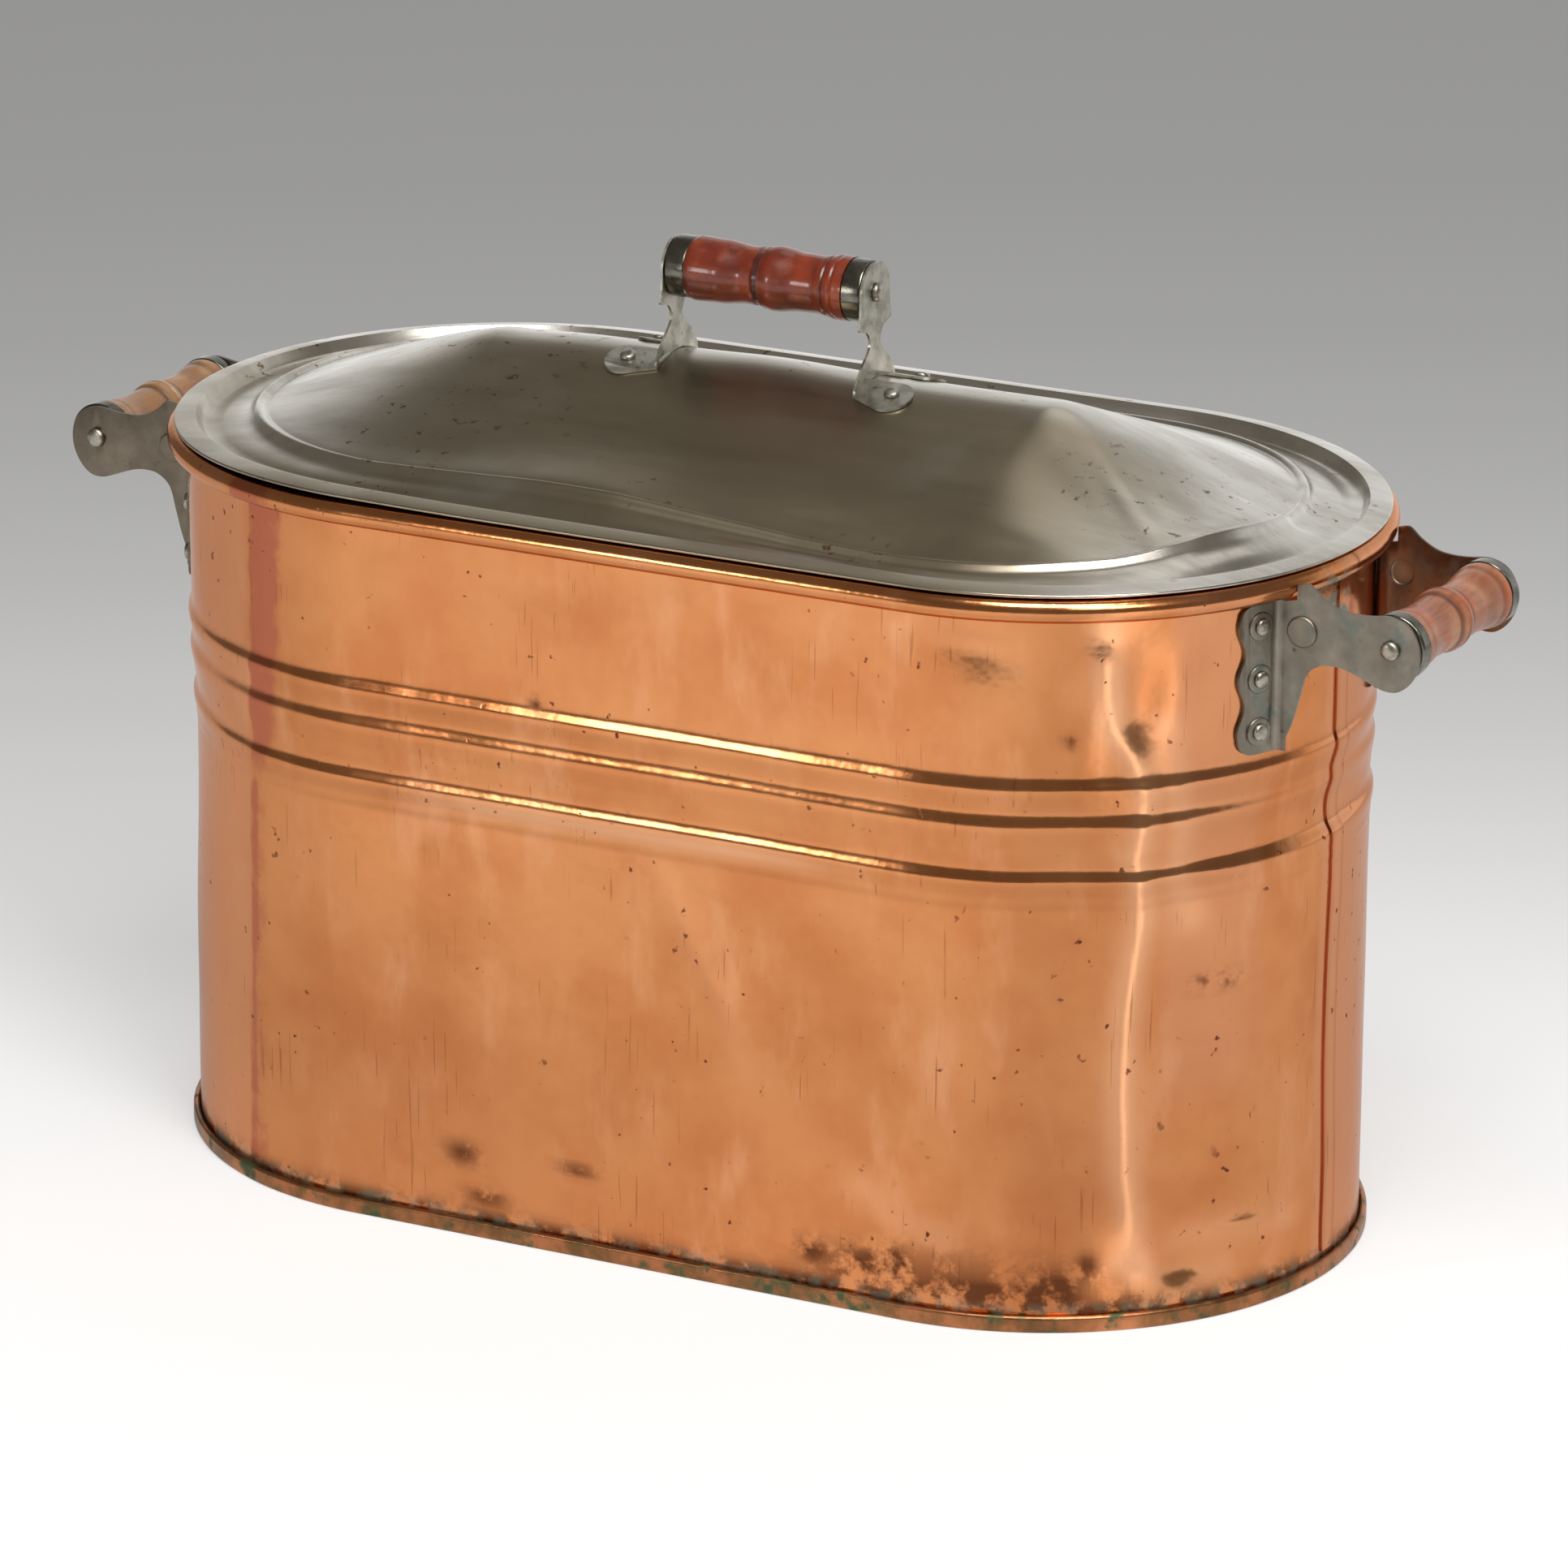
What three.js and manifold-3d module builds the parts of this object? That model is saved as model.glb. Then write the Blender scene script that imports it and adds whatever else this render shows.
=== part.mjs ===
// Lidded copper basin: an oval wash boiler with a tinned steel lid and turned wood grips.
// Millimetres. X runs along the length, the front is -Y, Z is up, and the base rests on z = 0.
import * as THREE from 'three';
import { mergeVertices } from 'three/addons/utils/BufferGeometryUtils.js';
import Module from 'manifold-3d';

// Body: two half shells of sheet copper, straight sides and half-round ends
const BODY_LENGTH = 571.5;
const BODY_WIDTH = 296;
const RIM_HEIGHT = 343;
const COPPER = 0.9;
const GAP = 0.3;
const ARC_STEP = 9;
const END_RADIUS = BODY_WIDTH / 2;
const HALF_STRAIGHT = BODY_LENGTH / 2 - END_RADIUS;

// Rim: the sheet's top edge rolled outward round a wire
const ROLL_DIAMETER = 11;
const ROLL_OPENING = 50;
const ROLL_RADIUS = ROLL_DIAMETER / 2;
const ROLL_OFFSET = ROLL_RADIUS - COPPER;
const ROLL_Z = RIM_HEIGHT - ROLL_RADIUS;
const WIRE_RADIUS = ROLL_RADIUS - COPPER - 2 * GAP;

// Ridges: three ledges pressed outward, each a drop below the rim, a lip and a foot
const RIDGE_DEPTH = 1.7;
const RIDGES = [
  { ledge: 84.2, lip: 90.1, foot: 100.9 },
  { ledge: 100.9, lip: 107.6, foot: 126 },
  { ledge: 127.4, lip: 132.6, foot: 142.8 },
];

// Base seam: the wall's foot turned out and up, with the pan's edge hooked over it
const SEAM_HEIGHT = 7.75;
const SEAM_PITCH = COPPER + GAP;
const HOOK_OFFSET = GAP + COPPER / 2;
const FLANGE_OFFSET = HOOK_OFFSET + SEAM_PITCH;
const PAN_WALL_OFFSET = FLANGE_OFFSET + SEAM_PITCH;
const FOLD_OUTSIDE = SEAM_PITCH + COPPER / 2;
const FOLD_Z = SEAM_HEIGHT - FOLD_OUTSIDE;
const TURN_Z = COPPER + GAP + FOLD_OUTSIDE;
const PAN_CORNER = 0.8;
const PAN_REST_WIDTH = 5.5;
const PAN_RISE = 3;
const PAN_RISE_WIDTH = 4;

// Side seams: each half shell laps over the next one, on a line turned off the long axis
const HANDLE_TURN = -3;
const LAP_WIDTH = 11;
const LAP_ROOT = 1.5;
const LAP_CLEAR = 2;

// Side handles: a pair of steel ears at each end, with a rod and a turned grip between them
const EAR_SHEET = 1.6;
const EAR_HALF_SPAN = 50;
const EAR_SECTOR = 45;
const ROD_REACH = 47.5;
const ROD_DROP = 26.4;
const ROD_DIAMETER = 5;
const ROD_HEAD_DIAMETER = 9;
const ROD_HEAD_HEIGHT = 3;
const BOSS_DIAMETER = 14.5;
const BOSS_HEIGHT = 1.5;
const BOSS_REACH = 4.7;
const BOSS_DROP = 24.8;
const TAB_WIDTH = 21.8;
const TAB_TOP_DROP = 11.85;
const TAB_SCALLOP = 3.5;
const TAB_CORNER = 3;
const RIVET_PITCH = 24.2;
const RIVET_INSET = 10.1;
const RIVET_SHANK = 4;
const EAR_RIVET_HEAD = 9;
const EAR_RIVET_HEIGHT = 2.5;
const BURR_DIAMETER = 7;
const BURR_HEIGHT = 1.2;

// The arm's free edge, from its tip by the rim round the rod's lobe and down to the tab's foot,
// as [out from the rod, up from the rod]
const ARM_EDGE = [
  [-47, 21.8],
  [-42, 23.4],
  [-39, 23],
  [-34, 18.8],
  [-27, 15],
  [-20, 13.7],
  [-11, 13.8],
  [-1, 15],
  [7, 12.7],
  [12, 7.2],
  [13.9, 0],
  [12.9, -7.5],
  [9, -14.5],
  [3.5, -18.6],
  [-2.5, -19],
  [-8, -17.4],
  [-20, -12.9],
  [-28, -11.8],
  [-34.5, -13],
  [-40.5, -18],
  [-43.7, -29],
  [-46.3, -40],
  [-50.5, -52],
];
const ARM_EDGE_PIECES = 40;

// Grips: turned wood with a metal cup on each end
const CUP_SHEET = 0.8;
const SIDE_CUP_DIAMETER = 31;
const SIDE_CUP_LENGTH = 7;
const LID_CUP_DIAMETER = 28.6;
const LID_CUP_LENGTH = 9.5;
const CUP_BEVEL = 1;

// Each grip's half outline, from the middle bead to the last shoulder, as [share of the way, radius]
const SIDE_GRIP = [[0, 13.8], [0.05, 14.5], [0.12, 13.1], [0.5, 12.5], [0.82, 13.8], [0.95, 15], [1, 15]];
const LID_GRIP = [[0, 12.6], [0.05, 14.8], [0.12, 14.9], [0.5, 13.1], [0.86, 14.6], [1, 14.1]];

// Lid: one sheet with a hemmed edge, a locating channel, a bead and a ridged roof
const LID_SHEET = 0.7;
const LID_OVERHANG = 6.5;
const HEM_WIDTH = 4.5;
const HEM_GAP = 0.2;
const LID_KINK_INSET = 3;
const LID_KINK_RISE = 1.75;
const CHANNEL_DEPTH = 6;
const CHANNEL_SIDE = 5;
const CHANNEL_FLOOR = 5;
const BEAD_INSET = 32.9;
const BEAD_WIDTH = 6;
const BEAD_HEIGHT = 1.9;
const BEAD_STEP = 2;
const BEAD_ROUND = 0.4;
const BEAD_FOOT_RISE = 1.5;
const ROOF_RISE = 41.5;
const RIDGE_ROUND = 14;

// Lid handle: two riveted brackets, a rod and a turned grip
const BRACKET_SHEET = 1.2;
const BRACKET_HALF_SPAN = 50.3;
const LOBE_RADIUS = 10.3;
const LOBE_SPREAD = 16.8;
const LOBE_SLOT = 6.5;
const LOBE_TURN = 113;
const LID_ROD_HEIGHT = 83.9;
const HEAD_HALF_WIDTH = 14.5;
const HEAD_TOP = 14;
const HEAD_TURN = 75;
const LID_RIVET_REACH = 16.6;
const LID_RIVET_SPREAD = 15;
const LID_RIVET_HEAD = 8;
const LID_RIVET_HEIGHT = 2.2;

// Half of the upright's edge, from its base to its head, as [from the middle, up from the rod]
const UPRIGHT_EDGE = [
  [20.5, -42.5],
  [19.5, -40],
  [14, -33],
  [9, -28.8],
  [5.5, -25],
  [5.5, -21],
  [8.5, -17.3],
  [15.8, -15],
  [16, -12.5],
  [14.6, -8],
];

// Facets of round pieces and curved edges
const ROUND_SIDES = 16;
const SMALL_SIDES = 8;
const SCALLOP_PIECES = 12;
const HALF_TURN = 180;

const wasm = await Module();
wasm.setup();
const part = new THREE.Group();
part.name = 'lidded_copper_basin';

// Solids

function cornersOf(geometry) {
  const bare = new THREE.BufferGeometry();
  bare.setAttribute('position', geometry.getAttribute('position'));
  if (geometry.index) {
    bare.setIndex(geometry.index);
  }
  return mergeVertices(bare, 1e-4);
}

function signedVolume(corners, faces) {
  const [a, b, c] = [new THREE.Vector3(), new THREE.Vector3(), new THREE.Vector3()];
  let volume = 0;
  for (const face of faces) {
    a.fromBufferAttribute(corners, face[0]);
    b.fromBufferAttribute(corners, face[1]);
    c.fromBufferAttribute(corners, face[2]);
    volume += a.dot(b.cross(c));
  }
  return volume;
}

function solid(geometry) {
  const welded = cornersOf(geometry);
  const index = welded.index.array;
  const faces = [];
  for (let i = 0; i < index.length; i += 3) {
    const face = [index[i], index[i + 1], index[i + 2]];
    if (new Set(face).size === 3) {
      faces.push(face);
    }
  }
  const corners = welded.getAttribute('position');
  if (signedVolume(corners, faces) < 0) {
    faces.forEach((face) => face.reverse());
  }
  const mesh = new wasm.Mesh({
    numProp: 3,
    vertProperties: new Float32Array(corners.array),
    triVerts: new Uint32Array(faces.flat()),
  });
  return new wasm.Manifold(mesh);
}

function geometryOf(body) {
  const mesh = body.getMesh();
  const geometry = new THREE.BufferGeometry();
  geometry.setAttribute('position', new THREE.BufferAttribute(mesh.vertProperties, 3));
  geometry.setIndex(new THREE.BufferAttribute(mesh.triVerts, 1));
  return geometry;
}

function addPiece(name, geometry, material) {
  const flat = geometry.index ? geometry.toNonIndexed() : geometry;
  flat.computeVertexNormals();
  const mesh = new THREE.Mesh(flat, material());
  mesh.name = name;
  part.add(mesh);
}

// Outlines, each a list of [across, up]

function arc(centre, radius, from, to, pieces) {
  const points = [];
  for (let i = 0; i <= pieces; i += 1) {
    const angle = THREE.MathUtils.degToRad(from + ((to - from) * i) / pieces);
    points.push([centre[0] + radius * Math.cos(angle), centre[1] + radius * Math.sin(angle)]);
  }
  return points;
}

function sideways(path, i) {
  const before = path[Math.max(i - 1, 0)];
  const here = path[i];
  const after = path[Math.min(i + 1, path.length - 1)];
  const first = new THREE.Vector2(before[1] - here[1], here[0] - before[0]);
  const second = new THREE.Vector2(here[1] - after[1], after[0] - here[0]);
  const [a, b] = [first.length() ? first : second, second.length() ? second : first];
  a.normalize();
  b.normalize();
  return a.clone().add(b).divideScalar(1 + a.dot(b));
}

function beside(path, distance) {
  return path.map((point, i) => {
    const side = sideways(path, i);
    return [point[0] + side.x * distance, point[1] + side.y * distance];
  });
}

function sheetOutline(path, thickness) {
  const right = beside(path, -thickness / 2);
  const left = beside(path, thickness / 2);
  return [...right, ...left.reverse()];
}

function shapeOf(outline) {
  return new THREE.Shape(outline.map(([across, up]) => new THREE.Vector2(across, up)));
}

// The plan: a station is an angle on the left (-1) or right (1) end arc

function stations(from, to) {
  const marks = [from];
  for (let mark = Math.ceil((from + 0.01) / ARC_STEP) * ARC_STEP; mark < to - 0.01; mark += ARC_STEP) {
    marks.push(mark);
  }
  marks.push(to);
  const endOf = (angle) => Math.sign(Math.cos(THREE.MathUtils.degToRad(angle)));
  const list = [];
  marks.forEach((angle, i) => {
    const before = endOf(angle - 1);
    const after = endOf(angle + 1);
    if (i > 0) {
      list.push({ angle, end: before });
    }
    if (i === 0 || (before !== after && i < marks.length - 1)) {
      list.push({ angle, end: after });
    }
  });
  return list;
}

function facetScale(angle) {
  const middle = (Math.floor(angle / ARC_STEP + 1e-9) + 0.5) * ARC_STEP;
  const half = THREE.MathUtils.degToRad(ARC_STEP / 2);
  return Math.cos(half) / Math.cos(THREE.MathUtils.degToRad(angle - middle));
}

function planPoint(station, offset, z) {
  const angle = THREE.MathUtils.degToRad(station.angle);
  const radius = (END_RADIUS + offset) * facetScale(station.angle);
  const x = station.end * HALF_STRAIGHT + radius * Math.cos(angle);
  return [x, radius * Math.sin(angle), z];
}

// Carries an outline of [offset from the wall, height] round the plan
function sweep(outline, places, closed) {
  const points = places.flatMap((place) => outline.map(([offset, z]) => planPoint(place, offset, z)));
  const onCentre = (j) => Math.abs(outline[j][0] + END_RADIUS) < 1e-6;
  const count = outline.length;
  const faces = [];
  const spans = closed ? places.length : places.length - 1;
  for (let i = 0; i < spans; i += 1) {
    const here = i * count;
    const next = ((i + 1) % places.length) * count;
    for (let j = 0; j < count; j += 1) {
      const k = (j + 1) % count;
      if (!(onCentre(j) && onCentre(k))) {
        faces.push(here + j, next + j, next + k, here + j, next + k, here + k);
      }
    }
  }
  if (!closed) {
    const flat = outline.map(([offset, z]) => new THREE.Vector2(offset, z));
    const far = (places.length - 1) * count;
    for (const [a, b, c] of THREE.ShapeUtils.triangulateShape(flat, [])) {
      faces.push(a, b, c, far + a, far + c, far + b);
    }
  }
  const geometry = new THREE.BufferGeometry();
  geometry.setAttribute('position', new THREE.Float32BufferAttribute(points.flat(), 3));
  geometry.setIndex(faces);
  return solid(geometry);
}

function wholeLoop() {
  return stations(-90, 270);
}

// Round pieces turned about Z, from a list of [radius, height]
function turned(profile, sides) {
  const points = profile.map(([radius, height]) => new THREE.Vector2(radius, height));
  return new THREE.LatheGeometry(points, sides).rotateX(Math.PI / 2);
}

function cylinder(radius, from, to) {
  return turned([[0, from], [radius, from], [radius, to], [0, to]], SMALL_SIDES);
}

function plate(shape, thickness) {
  const options = { depth: thickness, bevelEnabled: false, curveSegments: 6 };
  return new THREE.ExtrudeGeometry(shape, options).translate(0, 0, -thickness / 2);
}

// Frames: each one carries a piece from where it is made to where it sits

function frameOf(origin, xAxis, yAxis, zAxis) {
  const frame = new THREE.Matrix4().makeBasis(xAxis, yAxis, zAxis);
  return frame.setPosition(origin);
}

const UP = new THREE.Vector3(0, 0, 1);

function radial(angle) {
  const turn = THREE.MathUtils.degToRad(angle);
  return new THREE.Vector3(Math.cos(turn), Math.sin(turn), 0);
}

// The right handle's axes: out from the end arc, and across it towards the back
const OUT = radial(HANDLE_TURN);
const ACROSS = radial(HANDLE_TURN + 90);
const END_CENTRE = new THREE.Vector3(HALF_STRAIGHT, 0, 0);

function handlePoint(out, across, z) {
  const point = END_CENTRE.clone();
  point.addScaledVector(OUT, out);
  point.addScaledVector(ACROSS, across);
  return point.setZ(z);
}

// x out, y up, z towards the front, on a plane across the handle
function earFrame(across) {
  return frameOf(handlePoint(0, across, 0), OUT, UP, ACROSS.clone().negate());
}

// Z along the handle's rod
function rodFrame() {
  const origin = handlePoint(END_RADIUS + ROD_REACH, 0, RIM_HEIGHT - ROD_DROP);
  return frameOf(origin, OUT, UP.clone().negate(), ACROSS);
}

// Z out through the wall at one angle and height
function wallFrame(angle, z) {
  const out = radial(angle);
  const origin = END_CENTRE.clone().addScaledVector(out, END_RADIUS * facetScale(angle));
  const along = new THREE.Vector3().crossVectors(UP, out);
  return frameOf(origin.setZ(z), along, UP, out);
}

// The other end's handle is the same one turned half way round
function atEnd(geometry, end) {
  return end > 0 ? geometry : geometry.rotateZ(Math.PI);
}

// Materials

function copper() {
  return new THREE.MeshStandardMaterial({ color: 0xc8743c, roughness: 0.28, metalness: 1 });
}

function tinnedSteel() {
  return new THREE.MeshStandardMaterial({ color: 0x8d8a80, roughness: 0.4, metalness: 1 });
}

function darkSteel() {
  return new THREE.MeshStandardMaterial({ color: 0x5e574d, roughness: 0.5, metalness: 1 });
}

function ironWire() {
  return new THREE.MeshStandardMaterial({ color: 0x4c4743, roughness: 0.6, metalness: 1 });
}

function wood() {
  return new THREE.MeshStandardMaterial({ color: 0x7a3b24, roughness: 0.35, metalness: 0 });
}

// Body

function wallPath() {
  const middle = -COPPER / 2;
  const points = [[middle, TURN_Z]];
  for (const ridge of [...RIDGES].reverse()) {
    points.push([middle, RIM_HEIGHT - ridge.foot]);
    points.push([middle + RIDGE_DEPTH, RIM_HEIGHT - ridge.lip]);
    points.push([middle, RIM_HEIGHT - ridge.ledge]);
  }
  return points.filter((point, i) => i === 0 || point[1] > points[i - 1][1] + GAP);
}

function shellOutline() {
  const flangeTip = [FLANGE_OFFSET, FOLD_Z];
  const foot = arc([HOOK_OFFSET, TURN_Z], SEAM_PITCH, 0, -HALF_TURN, 3);
  const roll = arc([ROLL_OFFSET, ROLL_Z], ROLL_RADIUS - COPPER / 2, HALF_TURN, ROLL_OPENING - HALF_TURN, 8);
  return sheetOutline([flangeTip, ...foot, ...wallPath().slice(1), ...roll], COPPER);
}

function lapPath() {
  const low = [-COPPER / 2, SEAM_HEIGHT + LAP_CLEAR];
  const high = [-COPPER / 2, RIM_HEIGHT - ROLL_DIAMETER - LAP_CLEAR];
  return [low, ...wallPath().slice(1), high];
}

// The back half shell, from the right seam round to the lap at the left seam
function halfShell() {
  const degrees = (length) => THREE.MathUtils.radToDeg(length / END_RADIUS);
  const lap = degrees(LAP_WIDTH);
  const start = HANDLE_TURN - lap / 2 + degrees(GAP);
  const end = HANDLE_TURN + HALF_TURN - lap / 2;
  const shift = (by) => lapPath().map(([offset, z]) => [offset + by, z]);
  const lapSheet = sheetOutline(shift(COPPER + GAP), COPPER);
  const step = sheetOutline(shift((COPPER + GAP) / 2), 2 * COPPER);
  return sweep(shellOutline(), stations(start, end), false)
    .add(sweep(step, stations(end - degrees(LAP_ROOT), end), false))
    .add(sweep(lapSheet, stations(end - degrees(GAP), end + lap), false));
}

function addHalfShell(name, turn) {
  let shell = solid(geometryOf(halfShell()).rotateZ(turn));
  for (const hole of rivetHoles()) {
    shell = shell.subtract(hole);
  }
  addPiece(name, geometryOf(shell), copper);
}

function addRimWire() {
  const outline = arc([ROLL_OFFSET, ROLL_Z], WIRE_RADIUS, 0, 2 * HALF_TURN, SMALL_SIDES).slice(1);
  addPiece('rim_wire', geometryOf(sweep(outline, wholeLoop(), true)), ironWire);
}

function addBottomPan() {
  const low = COPPER / 2;
  const path = [
    [HOOK_OFFSET, TURN_Z + GAP],
    ...arc([FLANGE_OFFSET, FOLD_Z], SEAM_PITCH, HALF_TURN, 0, 4),
    ...arc([PAN_WALL_OFFSET - PAN_CORNER, low + PAN_CORNER], PAN_CORNER, 0, -90, 2),
    [PAN_WALL_OFFSET - PAN_REST_WIDTH, low],
    [PAN_WALL_OFFSET - PAN_REST_WIDTH - PAN_RISE_WIDTH, low + PAN_RISE],
    [-END_RADIUS, low + PAN_RISE],
  ];
  const pan = sweep(sheetOutline(path, COPPER), wholeLoop(), true);
  addPiece('bottom_pan', geometryOf(pan), copper);
}

// Side handles

function rivetDrops() {
  const middle = TAB_TOP_DROP + RIVET_PITCH * 1.5 - TAB_SCALLOP / 2;
  return [-1, 0, 1].map((step) => middle + step * RIVET_PITCH);
}

function rootAngle() {
  return THREE.MathUtils.radToDeg(Math.asin(EAR_HALF_SPAN / END_RADIUS));
}

function rivetAngle(side) {
  const inset = THREE.MathUtils.radToDeg(RIVET_INSET / END_RADIUS);
  return HANDLE_TURN + side * (rootAngle() + inset);
}

function rivetHoles() {
  const holes = [];
  for (const end of [-1, 1]) {
    for (const side of [-1, 1]) {
      for (const drop of rivetDrops()) {
        const deep = 2 * (EAR_SHEET + COPPER);
        const drill = cylinder(RIVET_SHANK / 2 + GAP, -deep, deep);
        const frame = wallFrame(rivetAngle(side), RIM_HEIGHT - drop);
        holes.push(solid(atEnd(drill.applyMatrix4(frame), end)));
      }
    }
  }
  return holes;
}

// The arm, seen from the side, from inside the wall to its free edge
function armShape() {
  const rod = [END_RADIUS + ROD_REACH, RIM_HEIGHT - ROD_DROP];
  const edge = ARM_EDGE.map(([out, up]) => new THREE.Vector2(rod[0] + out, rod[1] + up));
  const inside = Math.sqrt(END_RADIUS ** 2 - EAR_HALF_SPAN ** 2) - 4 * EAR_SHEET;
  const [tip, foot] = [edge[0], edge[edge.length - 1]];
  const free = new THREE.SplineCurve(edge).getPoints(ARM_EDGE_PIECES);
  return new THREE.Shape([new THREE.Vector2(inside, tip.y), ...free, new THREE.Vector2(inside, foot.y)]);
}

// The tab's outline, as [away from the arm, height]: a scallop round each rivet
function tabOutline() {
  const drops = rivetDrops();
  const top = RIM_HEIGHT - TAB_TOP_DROP;
  const bottom = RIM_HEIGHT - drops[2] - RIVET_PITCH / 2 + TAB_SCALLOP / 2;
  const reach = (drop) => Math.cos((2 * Math.PI * (drop - drops[1])) / RIVET_PITCH);
  const [inside, corner, side] = [-EAR_SHEET, TAB_WIDTH * 0.55, TAB_WIDTH * 0.86];
  const points = [[inside, bottom], [corner, bottom], [side, bottom + TAB_CORNER]];
  for (let i = 0; i <= SCALLOP_PIECES; i += 1) {
    const drop = drops[2] - (2 * RIVET_PITCH * i) / SCALLOP_PIECES;
    const width = TAB_WIDTH - (TAB_SCALLOP / 2) * (1 - reach(drop));
    points.push([width, RIM_HEIGHT - drop]);
  }
  points.push([side, top - TAB_CORNER], [corner, top], [inside, top]);
  return points;
}

function earTab(side) {
  const half = THREE.MathUtils.radToDeg(TAB_WIDTH / 2 / END_RADIUS);
  const root = HANDLE_TURN + side * rootAngle();
  const outer = HANDLE_TURN + side * (rootAngle() + 2 * half + 1);
  const [from, to] = [Math.min(root, outer), Math.max(root, outer)];
  const band = [[GAP, 0], [GAP + EAR_SHEET, 0], [GAP + EAR_SHEET, RIM_HEIGHT], [GAP, RIM_HEIGHT]];
  const shell = sweep(band, stations(from, to), false);
  const outline = tabOutline().map(([away, z]) => [side * (away - TAB_WIDTH / 2), z - RIM_HEIGHT]);
  const cutter = plate(shapeOf(outline), 8 * EAR_SHEET);
  const middle = HANDLE_TURN + side * (rootAngle() + half);
  return shell.intersect(solid(cutter.applyMatrix4(wallFrame(middle, RIM_HEIGHT))));
}

// What the ear keeps clear of: the wall, and the rim's roll above it
function wallClearance() {
  const reach = ROLL_OFFSET + ROLL_RADIUS + GAP;
  const step = RIM_HEIGHT - ROLL_DIAMETER - LAP_CLEAR;
  const [deep, high] = [-END_RADIUS / 4, 2 * RIM_HEIGHT];
  const outline = [[deep, 0], [GAP, 0], [GAP, step], [reach, step], [reach, high], [deep, high]];
  return sweep(outline, stations(HANDLE_TURN - EAR_SECTOR, HANDLE_TURN + EAR_SECTOR), false);
}

function bossParts(side) {
  const radius = BOSS_DIAMETER / 2;
  const low = -GAP / 3;
  const dome = (r, h) => turned([[0, low], [r, low], [r * 0.7, h * 0.8], [0, h]], ROUND_SIDES);
  const across = side * (EAR_HALF_SPAN + EAR_SHEET / 2);
  const recess = side * (EAR_HALF_SPAN - EAR_SHEET / 2);
  const out = END_RADIUS + BOSS_REACH;
  const height = RIM_HEIGHT - BOSS_DROP;
  const axis = ACROSS.clone().multiplyScalar(side);
  const upright = new THREE.Vector3().crossVectors(axis, OUT);
  const frame = (v) => frameOf(handlePoint(out, v, height), OUT, upright, axis);
  return {
    raised: solid(dome(radius, BOSS_HEIGHT).applyMatrix4(frame(across))),
    recess: solid(dome(radius - EAR_SHEET * 0.8, BOSS_HEIGHT * 0.9).applyMatrix4(frame(recess))),
  };
}

function addEar(name, end, side) {
  const arm = plate(armShape(), EAR_SHEET).applyMatrix4(earFrame(side * EAR_HALF_SPAN));
  const boss = bossParts(side);
  const hole = cylinder(ROD_DIAMETER / 2 + GAP, -2 * EAR_HALF_SPAN, 2 * EAR_HALF_SPAN);
  let ear = solid(arm).subtract(wallClearance()).add(earTab(side)).add(boss.raised).subtract(boss.recess);
  ear = ear.subtract(solid(hole.applyMatrix4(rodFrame())));
  ear = solid(atEnd(geometryOf(ear), end));
  for (const drill of rivetHoles()) {
    ear = ear.subtract(drill);
  }
  addPiece(name, geometryOf(ear), darkSteel);
}

// A rivet on Z: z = 0 is the outer sheet's face, and the burr closes it behind both sheets
function rivet(headDiameter, headHeight, stack) {
  const head = headDiameter / 2;
  const shank = RIVET_SHANK / 2;
  const burr = BURR_DIAMETER / 2;
  const back = -stack - GAP;
  const profile = [
    [0, back - BURR_HEIGHT],
    [burr, back - BURR_HEIGHT],
    [burr, back],
    [shank, back],
    [shank, GAP],
    [head, GAP],
    [head * 0.75, GAP + headHeight * 0.8],
    [0, GAP + headHeight],
  ];
  return turned(profile, SMALL_SIDES);
}

function addEarRivets(name, end, side) {
  rivetDrops().forEach((drop, i) => {
    const stack = EAR_SHEET + GAP + COPPER;
    const piece = rivet(EAR_RIVET_HEAD, EAR_RIVET_HEIGHT, stack).translate(0, 0, GAP + EAR_SHEET);
    const frame = wallFrame(rivetAngle(side), RIM_HEIGHT - drop);
    addPiece(`${name}_${i + 1}`, atEnd(piece.applyMatrix4(frame), end), darkSteel);
  });
}

// Rods, grips and cups are turned about Z, with z = 0 at the middle of the handle

function rod(halfSpan, sheet) {
  const shank = ROD_DIAMETER / 2;
  const head = ROD_HEAD_DIAMETER / 2;
  const face = halfSpan + sheet / 2 + GAP;
  const upper = [
    [shank, face],
    [head, face],
    [head * 0.75, face + ROD_HEAD_HEIGHT * 0.8],
    [0, face + ROD_HEAD_HEIGHT],
  ];
  const lower = upper.map(([radius, z]) => [radius, -z]).reverse();
  return turned([...lower, ...upper], SMALL_SIDES);
}

function grip(halfLength, cupDiameter, cupLength, halfOutline) {
  const bore = ROD_DIAMETER / 2 + GAP;
  const spigot = cupDiameter / 2 - CUP_SHEET - GAP;
  const shoulder = halfLength - cupLength - GAP;
  const end = halfLength - CUP_SHEET - GAP;
  const upper = halfOutline.map(([share, radius]) => [radius, shoulder * share]);
  upper.push([spigot, shoulder], [spigot, end], [bore, end]);
  const lower = upper.map(([radius, z]) => [radius, -z]).reverse();
  return turned([...lower, ...upper.slice(halfOutline[0][0] ? 0 : 1), [bore, -end]], ROUND_SIDES);
}

function cup(halfLength, diameter, length, end) {
  const bore = ROD_DIAMETER / 2 + GAP;
  const outside = diameter / 2;
  const inside = outside - CUP_SHEET;
  const profile = [
    [bore, halfLength],
    [outside - CUP_BEVEL, halfLength],
    [outside, halfLength - CUP_BEVEL],
    [outside, halfLength - length],
    [inside, halfLength - length],
    [inside, halfLength - CUP_SHEET],
    [bore, halfLength - CUP_SHEET],
    [bore, halfLength],
  ];
  return turned(profile.map(([radius, z]) => [radius, end * z]), ROUND_SIDES);
}

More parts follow.
